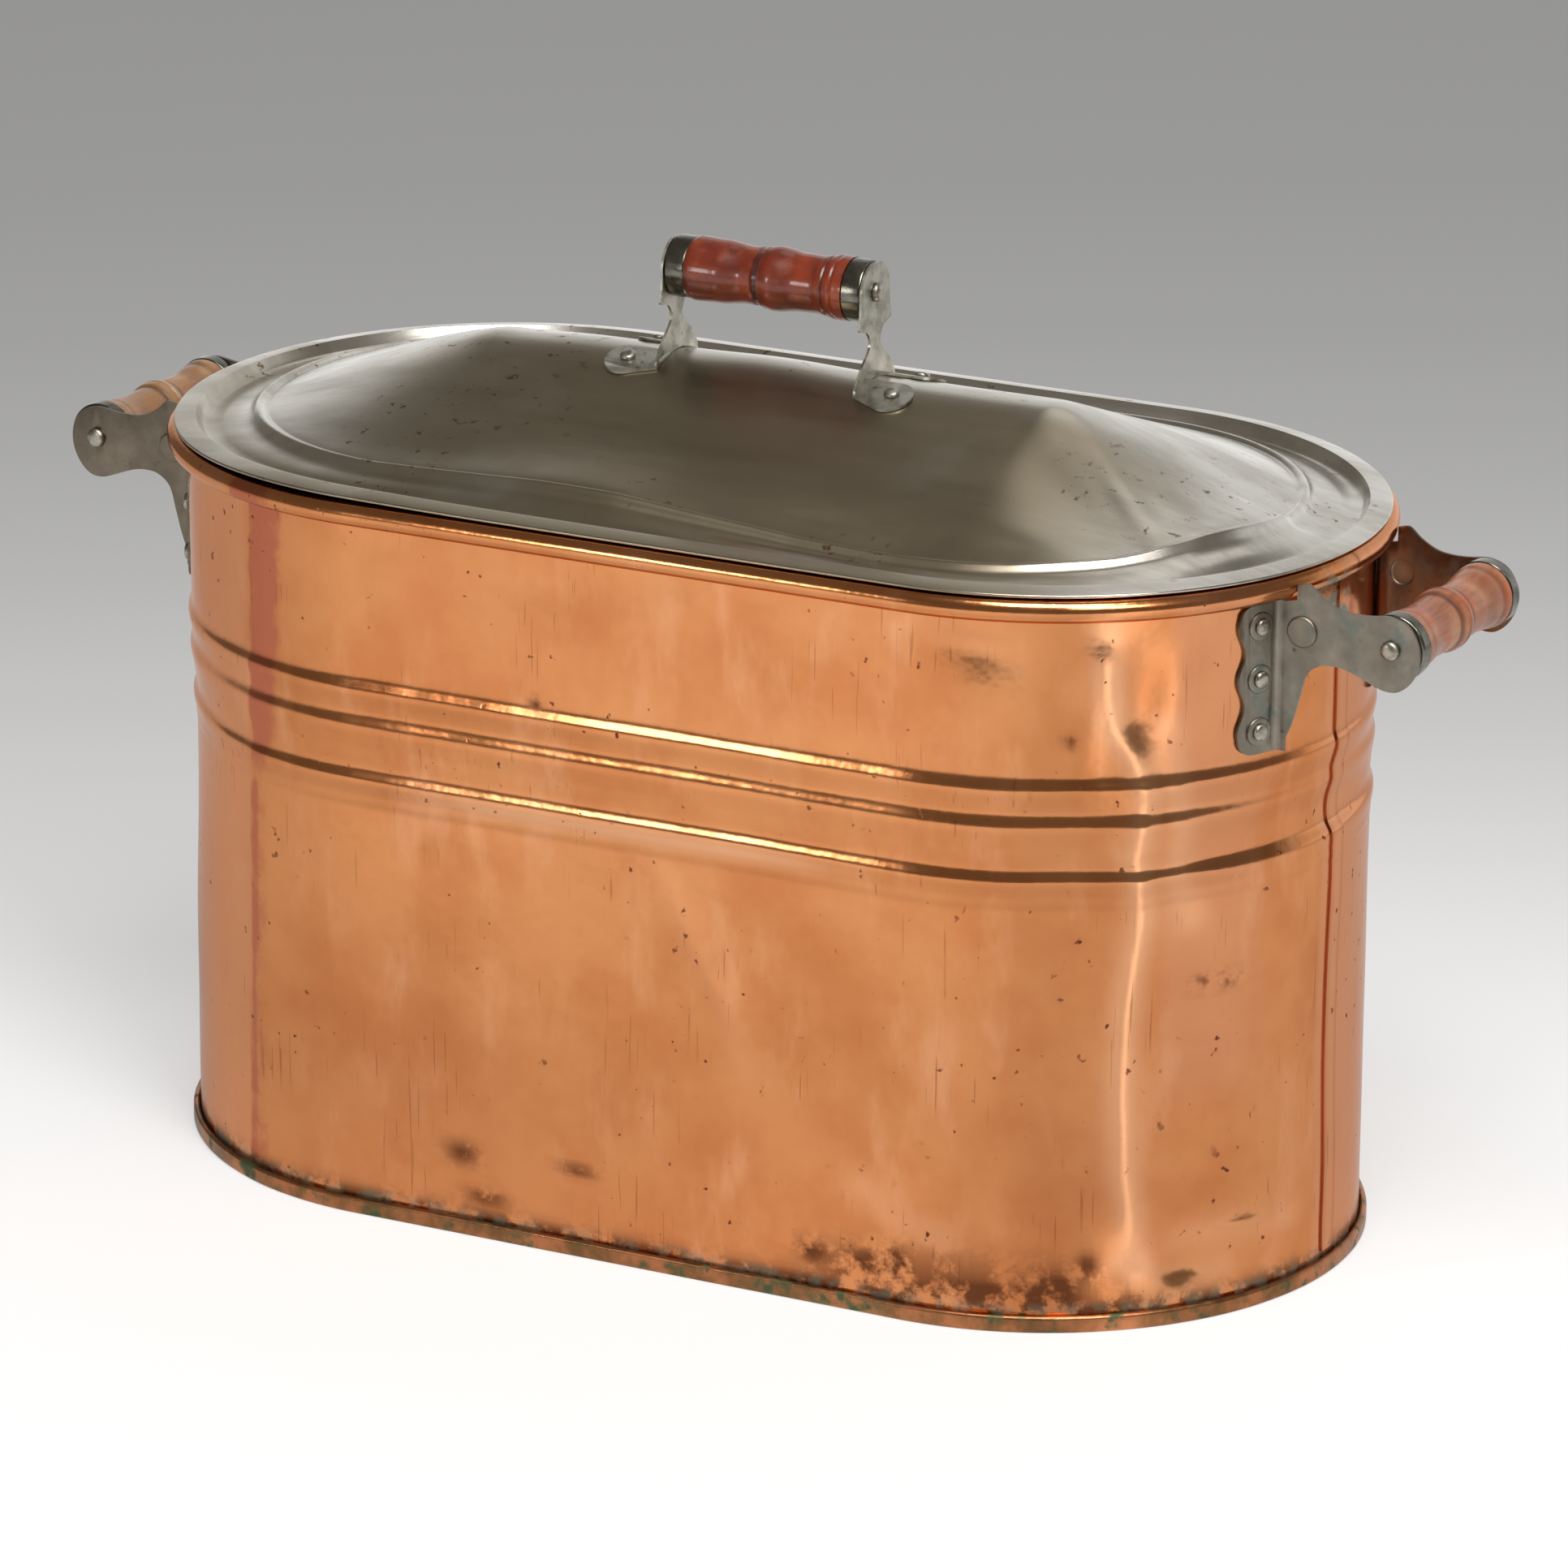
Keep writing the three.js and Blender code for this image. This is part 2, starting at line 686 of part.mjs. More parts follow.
function addSideHandle(name, end) {
  const half = EAR_HALF_SPAN - EAR_SHEET / 2 - GAP;
  const place = (geometry) => atEnd(geometry.applyMatrix4(rodFrame()), end);
  const round = (geometry) => geometryOf(solid(geometry));
  addPiece(`${name}_rod`, round(place(rod(EAR_HALF_SPAN, EAR_SHEET))), darkSteel);
  addPiece(`${name}_grip`, round(place(grip(half, SIDE_CUP_DIAMETER, SIDE_CUP_LENGTH, SIDE_GRIP))), wood);
  for (const side of [-1, 1]) {
    const label = side * end < 0 ? 'front' : 'back';
    const piece = place(cup(half, SIDE_CUP_DIAMETER, SIDE_CUP_LENGTH, side));
    addPiece(`${name}_cup_${label}`, round(piece), darkSteel);
    addEar(`${name}_ear_${label}`, end, side);
    addEarRivets(`${name}_rivet_${label}`, end, side);
  }
}

// Lid

const HEM_Z = RIM_HEIGHT + GAP;
const LID_EDGE_Z = HEM_Z + 1.5 * LID_SHEET + HEM_GAP;
const KINK = [-LID_KINK_INSET, LID_EDGE_Z + LID_KINK_RISE];
const CHANNEL_Z = KINK[1] - CHANNEL_DEPTH;
const BEAD_FOOT = [-BEAD_INSET - BEAD_WIDTH / 2, KINK[1] + BEAD_FOOT_RISE];
const ROOF_TOP_Z = BEAD_FOOT[1] + ROOF_RISE;
const ROOF_SLOPE = ROOF_RISE / (END_RADIUS + BEAD_FOOT[0]);
const CREST_Z = ROOF_TOP_Z - (ROOF_SLOPE * RIDGE_ROUND) / 2;

// Half of the roof, from its foot at the bead to the crest, as [distance from the crest, height]
function roofHalf() {
  return [
    [END_RADIUS + BEAD_FOOT[0], BEAD_FOOT[1]],
    [RIDGE_ROUND, ROOF_TOP_Z - ROOF_SLOPE * RIDGE_ROUND],
    [RIDGE_ROUND / 2, CREST_Z - (ROOF_SLOPE * RIDGE_ROUND) / 8],
    [0, CREST_Z],
  ];
}

function lidPath() {
  const fold = (LID_SHEET + HEM_GAP) / 2;
  const edge = LID_OVERHANG - fold - LID_SHEET / 2;
  const roof = roofHalf().map(([distance, z]) => [distance - END_RADIUS, z]);
  return [
    [edge - HEM_WIDTH, LID_EDGE_Z - 2 * fold],
    ...arc([edge, LID_EDGE_Z - fold], fold, -90, 90, 3),
    KINK,
    [KINK[0] - CHANNEL_SIDE, CHANNEL_Z],
    [KINK[0] - CHANNEL_SIDE - CHANNEL_FLOOR, CHANNEL_Z],
    [-BEAD_INSET + BEAD_WIDTH / 2, BEAD_FOOT[1] - BEAD_STEP],
    [-BEAD_INSET + BEAD_WIDTH / 6, BEAD_FOOT[1] + BEAD_HEIGHT - BEAD_ROUND],
    [-BEAD_INSET - BEAD_WIDTH / 6, BEAD_FOOT[1] + BEAD_HEIGHT],
    ...roof,
  ];
}

function lidOutline() {
  const path = lidPath();
  const crest = path[path.length - 1];
  const outline = sheetOutline(path, LID_SHEET);
  outline[path.length - 1] = [crest[0], crest[1] + LID_SHEET / 2];
  outline[path.length] = [crest[0], crest[1] - LID_SHEET / 2];
  return outline;
}

// Lid rivets stand square to the roof
function lidRivetFrame(end, side) {
  const x = end * (BRACKET_HALF_SPAN + LID_RIVET_REACH);
  const roof = new THREE.Vector3(x, side * LID_RIVET_SPREAD, ROOF_TOP_Z - ROOF_SLOPE * LID_RIVET_SPREAD);
  const out = new THREE.Vector3(0, side * ROOF_SLOPE, 1).normalize();
  const along = new THREE.Vector3(1, 0, 0);
  return frameOf(roof, along, new THREE.Vector3().crossVectors(out, along), out);
}

function lidRivetHoles() {
  const holes = [];
  for (const end of [-1, 1]) {
    for (const side of [-1, 1]) {
      const drill = cylinder(RIVET_SHANK / 2 + GAP, -RIVET_SHANK, RIVET_SHANK);
      holes.push(solid(drill.applyMatrix4(lidRivetFrame(end, side))));
    }
  }
  return holes;
}

function addLid() {
  let lid = sweep(lidOutline(), wholeLoop(), true);
  for (const hole of lidRivetHoles()) {
    lid = lid.subtract(hole);
  }
  addPiece('lid', geometryOf(lid), tinnedSteel);
}

// Lid handle

// x along the width, y up, z along the length
function uprightFrame(x) {
  return frameOf(new THREE.Vector3(x, 0, 0), new THREE.Vector3(0, 1, 0), UP, new THREE.Vector3(1, 0, 0));
}

// The roof's line across the lid, front to back
function roofLine() {
  const half = roofHalf();
  const back = half.slice(0, -1).reverse();
  return [...half.map(([distance, z]) => [-distance, z]), ...back];
}

function uprightShape(rodZ) {
  const edge = UPRIGHT_EDGE.map(([y, up]) => [y, rodZ + up]);
  const head = arc([0, 0], 1, 0, HEAD_TURN, 4);
  const rounded = head.map(([across, up]) => [across * HEAD_HALF_WIDTH, rodZ + up * HEAD_TOP]);
  const half = [[edge[0][0], RIM_HEIGHT], ...edge, ...rounded];
  const mirrored = half.map(([y, z]) => [-y, z]).reverse();
  return shapeOf([...half, ...mirrored]);
}

// The foot in plan: a round lobe on each slope of the roof, with a slot over the crest between them
function footShapes() {
  const inner = BRACKET_HALF_SPAN - BRACKET_SHEET / 2;
  const centre = [BRACKET_HALF_SPAN + LID_RIVET_REACH, LOBE_SPREAD];
  const lobe = arc(centre, LOBE_RADIUS, -90, LOBE_TURN, 10);
  const outline = [[inner, LOBE_SLOT], ...lobe, [inner, UPRIGHT_EDGE[0][0]]];
  return [shapeOf(outline), shapeOf(outline.map(([x, y]) => [x, -y]))];
}

function addLidBracket(name, end) {
  const rodZ = RIM_HEIGHT + LID_ROD_HEIGHT;
  const middle = beside(roofLine(), LID_SHEET / 2 + GAP + BRACKET_SHEET / 2);
  const under = beside(roofLine(), LID_SHEET / 2 + GAP);
  const saddle = plate(shapeOf(sheetOutline(middle, BRACKET_SHEET)), 4 * BRACKET_HALF_SPAN);
  const below = [...under, [END_RADIUS, 0], [-END_RADIUS, 0]];
  const lidSpace = plate(shapeOf(below), 4 * BRACKET_HALF_SPAN);
  const foot = plate(footShapes(), 4 * LID_ROD_HEIGHT).translate(0, 0, rodZ);
  const upright = plate(uprightShape(rodZ), BRACKET_SHEET).applyMatrix4(uprightFrame(BRACKET_HALF_SPAN));
  const hole = cylinder(ROD_DIAMETER / 2 + GAP, 0, 2 * BRACKET_HALF_SPAN);
  const bracket = solid(saddle.applyMatrix4(uprightFrame(0)))
    .intersect(solid(foot))
    .add(solid(upright).subtract(solid(lidSpace.applyMatrix4(uprightFrame(0)))))
    .subtract(solid(hole.applyMatrix4(uprightFrame(0)).translate(0, 0, rodZ)));
  let placed = solid(atEnd(geometryOf(bracket), end));
  for (const drill of lidRivetHoles()) {
    placed = placed.subtract(drill);
  }
  addPiece(name, geometryOf(placed), tinnedSteel);
}

function addLidHandle() {
  const half = BRACKET_HALF_SPAN - BRACKET_SHEET / 2 - GAP;
  const rodZ = RIM_HEIGHT + LID_ROD_HEIGHT;
  const place = (geometry) => geometryOf(solid(geometry.applyMatrix4(uprightFrame(0)).translate(0, 0, rodZ)));
  addPiece('lid_rod', place(rod(BRACKET_HALF_SPAN, BRACKET_SHEET)), darkSteel);
  addPiece('lid_grip', place(grip(half, LID_CUP_DIAMETER, LID_CUP_LENGTH, LID_GRIP)), wood);
  for (const end of [-1, 1]) {
    const label = end < 0 ? 'left' : 'right';
    addPiece(`lid_cup_${label}`, place(cup(half, LID_CUP_DIAMETER, LID_CUP_LENGTH, end)), darkSteel);
    addLidBracket(`lid_bracket_${label}`, end);
    for (const side of [-1, 1]) {
      const stack = BRACKET_SHEET + GAP + LID_SHEET;
      const piece = rivet(LID_RIVET_HEAD, LID_RIVET_HEIGHT, stack);
      piece.translate(0, 0, LID_SHEET / 2 + GAP + BRACKET_SHEET);
      const row = side < 0 ? 'front' : 'back';
      addPiece(`lid_rivet_${label}_${row}`, piece.applyMatrix4(lidRivetFrame(end, side)), darkSteel);
    }
  }
}

addHalfShell('body_back_sheet', 0);
addHalfShell('body_front_sheet', Math.PI);
addRimWire();
addBottomPan();
addSideHandle('left', -1);
addSideHandle('right', 1);
addLid();
addLidHandle();

export default part;
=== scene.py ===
# A lidded copper basin: the sheet copper body with its dents and stains, the tin-plated lid,
# the steel ears, rods and rivets, and the turned wood grips. Sizes are in millimetres.
import math

import bpy
import numpy as np
from mathutils import Matrix, Vector


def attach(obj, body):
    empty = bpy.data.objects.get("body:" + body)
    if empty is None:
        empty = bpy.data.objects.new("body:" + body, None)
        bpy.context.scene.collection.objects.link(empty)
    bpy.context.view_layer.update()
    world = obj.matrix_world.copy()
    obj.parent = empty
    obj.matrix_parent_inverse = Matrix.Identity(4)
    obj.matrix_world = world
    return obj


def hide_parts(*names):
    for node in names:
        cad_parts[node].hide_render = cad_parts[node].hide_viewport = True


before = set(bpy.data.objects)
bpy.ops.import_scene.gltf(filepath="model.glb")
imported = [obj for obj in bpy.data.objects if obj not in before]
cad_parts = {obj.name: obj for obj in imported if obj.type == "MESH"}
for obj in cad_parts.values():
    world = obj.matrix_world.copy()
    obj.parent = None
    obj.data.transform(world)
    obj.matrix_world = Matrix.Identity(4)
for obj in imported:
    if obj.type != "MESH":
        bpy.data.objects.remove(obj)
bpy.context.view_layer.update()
MM = 0.001

# Body
BODY_LENGTH = 571.5
BODY_WIDTH = 296
RIM_HEIGHT = 343
COPPER = 0.9
GAP = 0.3
END_RADIUS = BODY_WIDTH / 2
HALF_STRAIGHT = BODY_LENGTH / 2 - END_RADIUS
GRID = 3.25

# Rim
ROLL_RADIUS = 5.4
ROLL_OFFSET = ROLL_RADIUS - COPPER
ROLL_Z = RIM_HEIGHT - ROLL_RADIUS
ROLL_OPENING = 50

# Base seam
SEAM_HEIGHT = 7.75
SEAM_PITCH = COPPER + GAP
HOOK_OFFSET = GAP + COPPER / 2
FLANGE_OFFSET = HOOK_OFFSET + SEAM_PITCH
PAN_WALL_OFFSET = FLANGE_OFFSET + SEAM_PITCH
FOLD_OUTSIDE = SEAM_PITCH + COPPER / 2
FOLD_Z = SEAM_HEIGHT - FOLD_OUTSIDE
TURN_Z = COPPER + GAP + FOLD_OUTSIDE

# Side seams and handles
HANDLE_TURN = -3
LAP_WIDTH = 11
LAP_RISE = 0.08
LAP_OVER_EDGE = 0.4
EAR_SHEET = 1.6
EAR_HALF_SPAN = 50
ROD_REACH = 47.5
ROD_DROP = 26.4
ROD_DIAMETER = 5
TAB_WIDTH = 21.8
TAB_TOP_DROP = 11.85
TAB_SCALLOP = 3.5
RIVET_PITCH = 24.2
RIVET_INSET = 10.1
RIVET_SHANK = 4
EAR_RIVET_HEAD = (3.9, 2.0)
ROD_HOLE = 2.8
RIVET_HOLE = 2.3
BOSS_RADIUS = 7.2
BOSS_REACH = 4.7
BOSS_DROP = 24.8
EMBOSS_RADIUS = 6.6
EMBOSS_HEIGHT = 0.9
CUP_SHEET = 0.8
SIDE_CUP = {"diameter": 31, "length": 7}

# The arm's free edge, from its tip by the rim round the rod to the tab's foot, as (out, up) from
# the rod
ARM_EDGE = [
    (-47, 21.8), (-42, 23.4), (-39, 23), (-34, 18.8), (-27, 15), (-20, 13.7), (-11, 13.8), (-1, 15),
    (7, 12.7), (12, 7.2), (13.9, 0), (12.9, -7.5), (9, -14.5), (3.5, -18.6), (-2.5, -19),
    (-8, -17.4), (-20, -12.9), (-28, -11.8), (-34.5, -13), (-40.5, -18), (-43.7, -29),
    (-46.8, -40), (-51, -49.5), (-57, -52),
]

# Lid
LID_SHEET = 0.7
LID_OVERHANG = 6.5
HEM_WIDTH = 4.5
HEM_GAP = 0.2
LID_EDGE_Z = RIM_HEIGHT + GAP + 1.5 * LID_SHEET + HEM_GAP
KINK = (-3, LID_EDGE_Z + 1.75)
CHANNEL_Z = KINK[1] - 6
BEAD_INSET = 32.9
BEAD_WIDTH = 6
BEAD_FOOT = (-BEAD_INSET - BEAD_WIDTH / 2, KINK[1] + 1.5)
ROOF_RISE = 41.5
ROOF_TOP_Z = BEAD_FOOT[1] + ROOF_RISE
ROOF_SLOPE = ROOF_RISE / (END_RADIUS + BEAD_FOOT[0])
RIDGE_ROUND = 14
BRACKET_SHEET = 1.2
BRACKET_HALF_SPAN = 50.3
LID_ROD_Z = RIM_HEIGHT + 83.9
BRACKET_HEAD = (14.5, 14)
LID_CUP = {"diameter": 28.6, "length": 9.5}
LID_RIVET_HEAD = (3.6, 1.8)
LID_RIVET_REACH = 16.6
LID_RIVET_SPREAD = 15
LOBE_RADIUS = 10.3
LOBE_SPREAD = 16.8
LOBE_SLOT = 6.5

# Half of the bracket's edge, from its base to its head: from the middle and up from the rod
UPRIGHT_EDGE = [
    (20.5, -42.5), (19.5, -40), (14, -33), (9, -28.8), (5.5, -25), (5.5, -21), (8.5, -17.3),
    (15.8, -15), (16, -12.5), (14.6, -8),
]


# Work on one mesh

def put_down_all():
    if bpy.context.object and bpy.context.object.mode != "OBJECT":
        bpy.ops.object.mode_set(mode="OBJECT")
    bpy.ops.object.select_all(action="DESELECT")


def pick_up(piece):
    put_down_all()
    piece.select_set(True)
    bpy.context.view_layer.objects.active = piece


def corners(piece):
    points = np.empty(len(piece.data.vertices) * 3)
    piece.data.vertices.foreach_get("co", points)
    return points.reshape(-1, 3) / MM


def set_corners(piece, points):
    piece.data.vertices.foreach_set("co", (np.asarray(points, float) * MM).ravel())
    piece.data.update()


def choose_edges(piece, wanted):
    """Selects, in object mode, the edges that wanted(start, end) picks, and nothing else."""
    points = corners(piece)
    mesh = piece.data
    ends = np.empty(len(mesh.edges) * 2, int)
    mesh.edges.foreach_get("vertices", ends)
    ends = ends.reshape(-1, 2)
    chosen = wanted(points[ends[:, 0]], points[ends[:, 1]])
    mesh.vertices.foreach_set("select", np.zeros(len(mesh.vertices), bool))
    mesh.polygons.foreach_set("select", np.zeros(len(mesh.polygons), bool))
    mesh.edges.foreach_set("select", chosen)
    bpy.context.tool_settings.mesh_select_mode = (False, True, False)


def edit(piece, *steps):
    """Runs edit-mode operators on one piece: each step is a function, run in order."""
    pick_up(piece)
    bpy.ops.object.mode_set(mode="EDIT")
    for step in steps:
        step()
    bpy.ops.object.mode_set(mode="OBJECT")


def select_everything():
    bpy.ops.mesh.select_all(action="SELECT")


def close_up(piece, inside_out=False):
    """Merges doubled corners and turns every face outwards."""
    edit(
        piece,
        select_everything,
        lambda: bpy.ops.mesh.remove_doubles(threshold=0.02 * MM),
        lambda: bpy.ops.mesh.normals_make_consistent(inside=inside_out),
    )


def modify(piece, kind, **settings):
    pick_up(piece)
    modifier = piece.modifiers.new(kind.lower(), kind)
    for name, value in settings.items():
        setattr(modifier, name, value)
    bpy.ops.object.modifier_apply(modifier=modifier.name)


def smooth(piece, degrees=35):
    pick_up(piece)
    bpy.ops.object.shade_smooth_by_angle(angle=math.radians(degrees))


def carried(piece, placement):
    """Moves the mesh itself, so the piece's own origin stays at the object's origin."""
    scaled = placement.copy()
    scaled.translation *= MM
    piece.data.transform(scaled)
    piece.data.update()
    return piece


def line_of(name, points, closed):
    """A line of corners, begun as a circle with as many."""
    put_down_all()
    bpy.ops.mesh.primitive_circle_add(vertices=len(points), radius=10 * MM, fill_type="NOTHING")
    piece = bpy.context.object
    piece.name = name
    set_corners(piece, points)
    if not closed:
        last = len(points) - 1
        mesh = piece.data
        mesh.vertices.foreach_set("select", np.zeros(len(mesh.vertices), bool))
        for edge in mesh.edges:
            edge.select = set(edge.vertices) == {0, last}
        bpy.context.tool_settings.mesh_select_mode = (False, True, False)
        edit(piece, lambda: bpy.ops.mesh.delete(type="EDGE"))
    return piece


def outline_plate(name, outline, thickness):
    """A flat plate: the outline is filled in XY, and extruded to its thickness about z = 0."""
    flat = [(across, up, -thickness / 2) for across, up in outline]
    piece = line_of(name, flat, closed=True)
    edit(
        piece,
        select_everything,
        lambda: bpy.ops.mesh.edge_face_add(),
        lambda: bpy.ops.mesh.extrude_region_move(
            TRANSFORM_OT_translate={"value": (0, 0, thickness * MM)}
        ),
    )
    close_up(piece)
    return piece


def turned(name, profile, steps):
    """A closed piece turned about Z on the lathe, from a closed profile of (radius, height)."""
    on_axis = [radius < 0.001 for radius, _ in profile]
    flat = [(radius, 0, height) for radius, height in profile]
    piece = line_of(name, flat, closed=not any(on_axis))
    edit(
        piece,
        select_everything,
        lambda: bpy.ops.mesh.spin(
            steps=steps, angle=math.tau, center=(0, 0, 0), axis=(0, 0, 1)
        ),
    )
    close_up(piece)
    return piece


def cut(piece, tool, operation="DIFFERENCE"):
    modify(piece, "BOOLEAN", operation=operation, object=tool, solver="EXACT")
    bpy.data.objects.remove(tool)


def soften_edges(piece, width, degrees=40, segments=2):
    modify(
        piece,
        "BEVEL",
        width=width * MM,
        segments=segments,
        limit_method="ANGLE",
        angle_limit=math.radians(degrees),
        harden_normals=False,
    )


def arc(centre, radius, start, end, pieces):
    angles = np.radians(np.linspace(start, end, pieces + 1))
    return [(centre[0] + radius * math.cos(a), centre[1] + radius * math.sin(a)) for a in angles]


def frame_of(origin, x_axis, y_axis, z_axis):
    placement = Matrix.Identity(4)
    for i, axis in enumerate((x_axis, y_axis, z_axis)):
        placement.col[i][:3] = Vector(axis)
    placement.translation = Vector(origin)
    return placement


def radial(angle):
    return Vector((math.cos(math.radians(angle)), math.sin(math.radians(angle)), 0))


UP = Vector((0, 0, 1))
OUT = radial(HANDLE_TURN)
ACROSS = radial(HANDLE_TURN + 90)
HALF_TURN = Matrix.Rotation(math.pi, 4, "Z")


def handle_point(out, across, z):
    point = Vector((HALF_STRAIGHT, 0, 0)) + OUT * out + ACROSS * across
    return Vector((point.x, point.y, z))


def at_end(piece, end):
    return piece if end > 0 else carried(piece, HALF_TURN)


# Sheet carried round the oval plan

def spin_about(end, degrees):
    """Spins the selected edge round one end arc. With no window open, spin runs clockwise."""
    steps = max(2, round(math.radians(degrees) * END_RADIUS / GRID))
    bpy.ops.mesh.spin(
        steps=steps,
        angle=-math.radians(degrees),
        center=(end * HALF_STRAIGHT * MM, 0, 0),
        axis=(0, 0, 1),
    )


def run_straight(direction):
    reach = direction * 2 * HALF_STRAIGHT * MM
    bpy.ops.mesh.extrude_edges_move(TRANSFORM_OT_translate={"value": (reach, 0, 0)})


def split_straights(piece):
    """The straight sides come out as single long faces, which get the same grid as the ends."""
    choose_edges(piece, lambda a, b: np.abs(a[:, 0] - b[:, 0]) > 200)
    cuts = round(2 * HALF_STRAIGHT / GRID) - 1
    edit(piece, lambda: bpy.ops.mesh.subdivide(number_cuts=cuts))


def carried_round(name, path, start, stages):
    """A single sheet: path is (offset from the wall, height), first placed at the angle start."""
    end = 1 if math.cos(math.radians(start + 0.5)) > 0 else -1
    line = []
    for offset, z in path:
        reach = radial(start) * (END_RADIUS + offset)
        line.append((end * HALF_STRAIGHT + reach.x, reach.y, z))
    piece = line_of(name, line, closed=False)
    edit(piece, select_everything, *stages)
    split_straights(piece)
    close_up(piece)
    return piece


def all_round(name, path):
    stages = (
        lambda: spin_about(1, 180),
        lambda: run_straight(-1),
        lambda: spin_about(-1, 180),
        lambda: run_straight(1),
    )
    return carried_round(name, path, -90, stages)


def face_outwards(piece, test):
    """A single sheet has no inside, so its faces are turned by a test on (centres, normals)."""
    mesh = piece.data
    centres = np.empty(len(mesh.polygons) * 3)
    normals = np.empty(len(mesh.polygons) * 3)
    mesh.polygons.foreach_get("center", centres)
    mesh.polygons.foreach_get("normal", normals)
    if test(centres.reshape(-1, 3) / MM, normals.reshape(-1, 3)) < 0:
        edit(piece, select_everything, lambda: bpy.ops.mesh.flip_normals())


# Dents: where on the plan a point is, and how far the sheet is pushed there

def on_plan(points):
    """Along the wall from the middle of the front (right is positive), and the way out of it."""
    x, y = points[:, 0], points[:, 1]
    core = np.clip(x, -HALF_STRAIGHT, HALF_STRAIGHT)
    out = np.stack([x - core, y], axis=1)
    distance = np.maximum(np.linalg.norm(out, axis=1), 1e-6)
    out /= distance[:, None]
    side = np.where(x < 0, -1.0, 1.0)
    turn = np.arctan2(side * out[:, 0], -out[:, 1])
    along = np.where(np.abs(x) > HALF_STRAIGHT, HALF_STRAIGHT + END_RADIUS * turn, np.abs(x))
    behind = (np.abs(x) <= HALF_STRAIGHT) & (y > 0)
    along = np.where(behind, 2 * HALF_STRAIGHT + END_RADIUS * math.pi - np.abs(x), along)
    return side * along, out, distance


def bump(distance, reach):
    return np.exp(-((distance / reach) ** 2))


def step(value, low, high):
    share = np.clip((value - low) / (high - low), 0, 1)
    return share * share * (3 - 2 * share)


# Each dent: place along the wall, height, half width, half height, how far out, lean in degrees
BODY_DENTS = [
    (213, 146, 24, 110, -3.4, 0),
    (270, 137, 22, 95, -3.2, 0),
    (242, 294, 13, 26, -2.6, -8),
    (221, 294, 7, 34, 0.9, -4),
    (261, 294, 8, 30, 0.8, -6),
    (250, 246, 7, 14, -0.5, 10),
    (256, 223, 8, 10, 1.0, -20),
    (264, 200, 12, 12, -1.0, 0),
    (269, 29, 24, 18, -4.0, 24),
    (306, 36, 28, 12, 1.8, 24),
    (323, 17, 22, 12, -2.4, 20),
    (243, 19, 12, 14, -2.0, 0),
    (308, 227, 40, 20, -2.4, 0),
    (367, 225, 46, 16, -4.0, 0),
    (369, 120, 40, 60, -1.6, 0),
    (169, 320, 24, 15, -1.6, -30),
    (189, 294, 20, 30, 0.6, -25),
    (67, 312, 22, 26, -1.0, 0),
    (29, 314, 10, 26, 0.8, 12),
    (-35, 319, 36, 20, -0.9, 0),
    (-116, 311, 16, 26, 0.8, 0),
    (-146, 311, 20, 26, -0.9, 0),
    (-258, 208, 40, 34, -3.0, 0),
    (-279, 164, 50, 40, -1.6, 0),
    (-195, 117, 10, 120, 1.1, 0),
    (-210, 108, 12, 120, -1.3, 0),
    (26, 146, 60, 50, -1.2, 0),
    (67, 58, 40, 26, -1.1, 12),
    (-54, 87, 60, 50, 0.9, 0),
    (136, 47, 34, 22, -1.8, 18),
    (158, 29, 20, 16, 1.2, 18),
    (620, 190, 60, 50, -2.0, 0),
    (-640, 110, 70, 50, -1.8, 0),
    (-560, 300, 40, 26, -0.9, 0),
]

# Each crease: its line as (place along the wall, height), half width, and how far out
CREASES = [
    ([(228, 328), (230, 300), (233, 281), (242, 266), (248, 248), (243, 221), (247, 194),
      (242, 168), (239, 145), (238, 111), (240, 72), (247, 29)], 7, 3.2),
    ([(257, 279), (263, 247), (265.5, 233), (262, 211), (270, 191)], 4, 1.3),
    ([(239, 30), (266, 15), (290, 22)], 5, 1.5),
    ([(266, 38), (295, 40), (331, 35)], 5, 1.7),
    ([(20, 196), (34, 160), (52, 132), (60, 104)], 7, 1.0),
    ([(118, 60), (136, 46), (160, 40)], 5, 0.8),
    ([(150, 328), (170, 321), (186, 308)], 5, -0.4),
]


def line_distance(along, z, line):
    """How far each point is from a broken line, and how near it lies to the line's ends, 0 to 1."""
    nearest = np.full(len(along), 1e6)
    for (a1, z1), (a2, z2) in zip(line, line[1:]):
        run, rise = a2 - a1, z2 - z1
        share = np.clip(((along - a1) * run + (z - z1) * rise) / (run * run + rise * rise), 0, 1)
        nearest = np.minimum(nearest, np.hypot(along - a1 - share * run, z - z1 - share * rise))
    ends = [np.hypot(along - line[i][0], z - line[i][1]) for i in (0, -1)]
    return nearest, 1 - bump(np.minimum(*ends), 14)


def all_dents(first, second, dents):
    """The depth of all dents together at each point: each dent is an oval, leaned in degrees."""
    push = np.zeros(len(first))
    for place, height, half_width, half_height, amount, lean in dents:
        a, b = first - place, second - height
        turn = math.radians(lean)
        across = a * math.cos(turn) + b * math.sin(turn)
        upright = b * math.cos(turn) - a * math.sin(turn)
        push += amount * bump(across, half_width) * bump(upright, half_height)
    return push


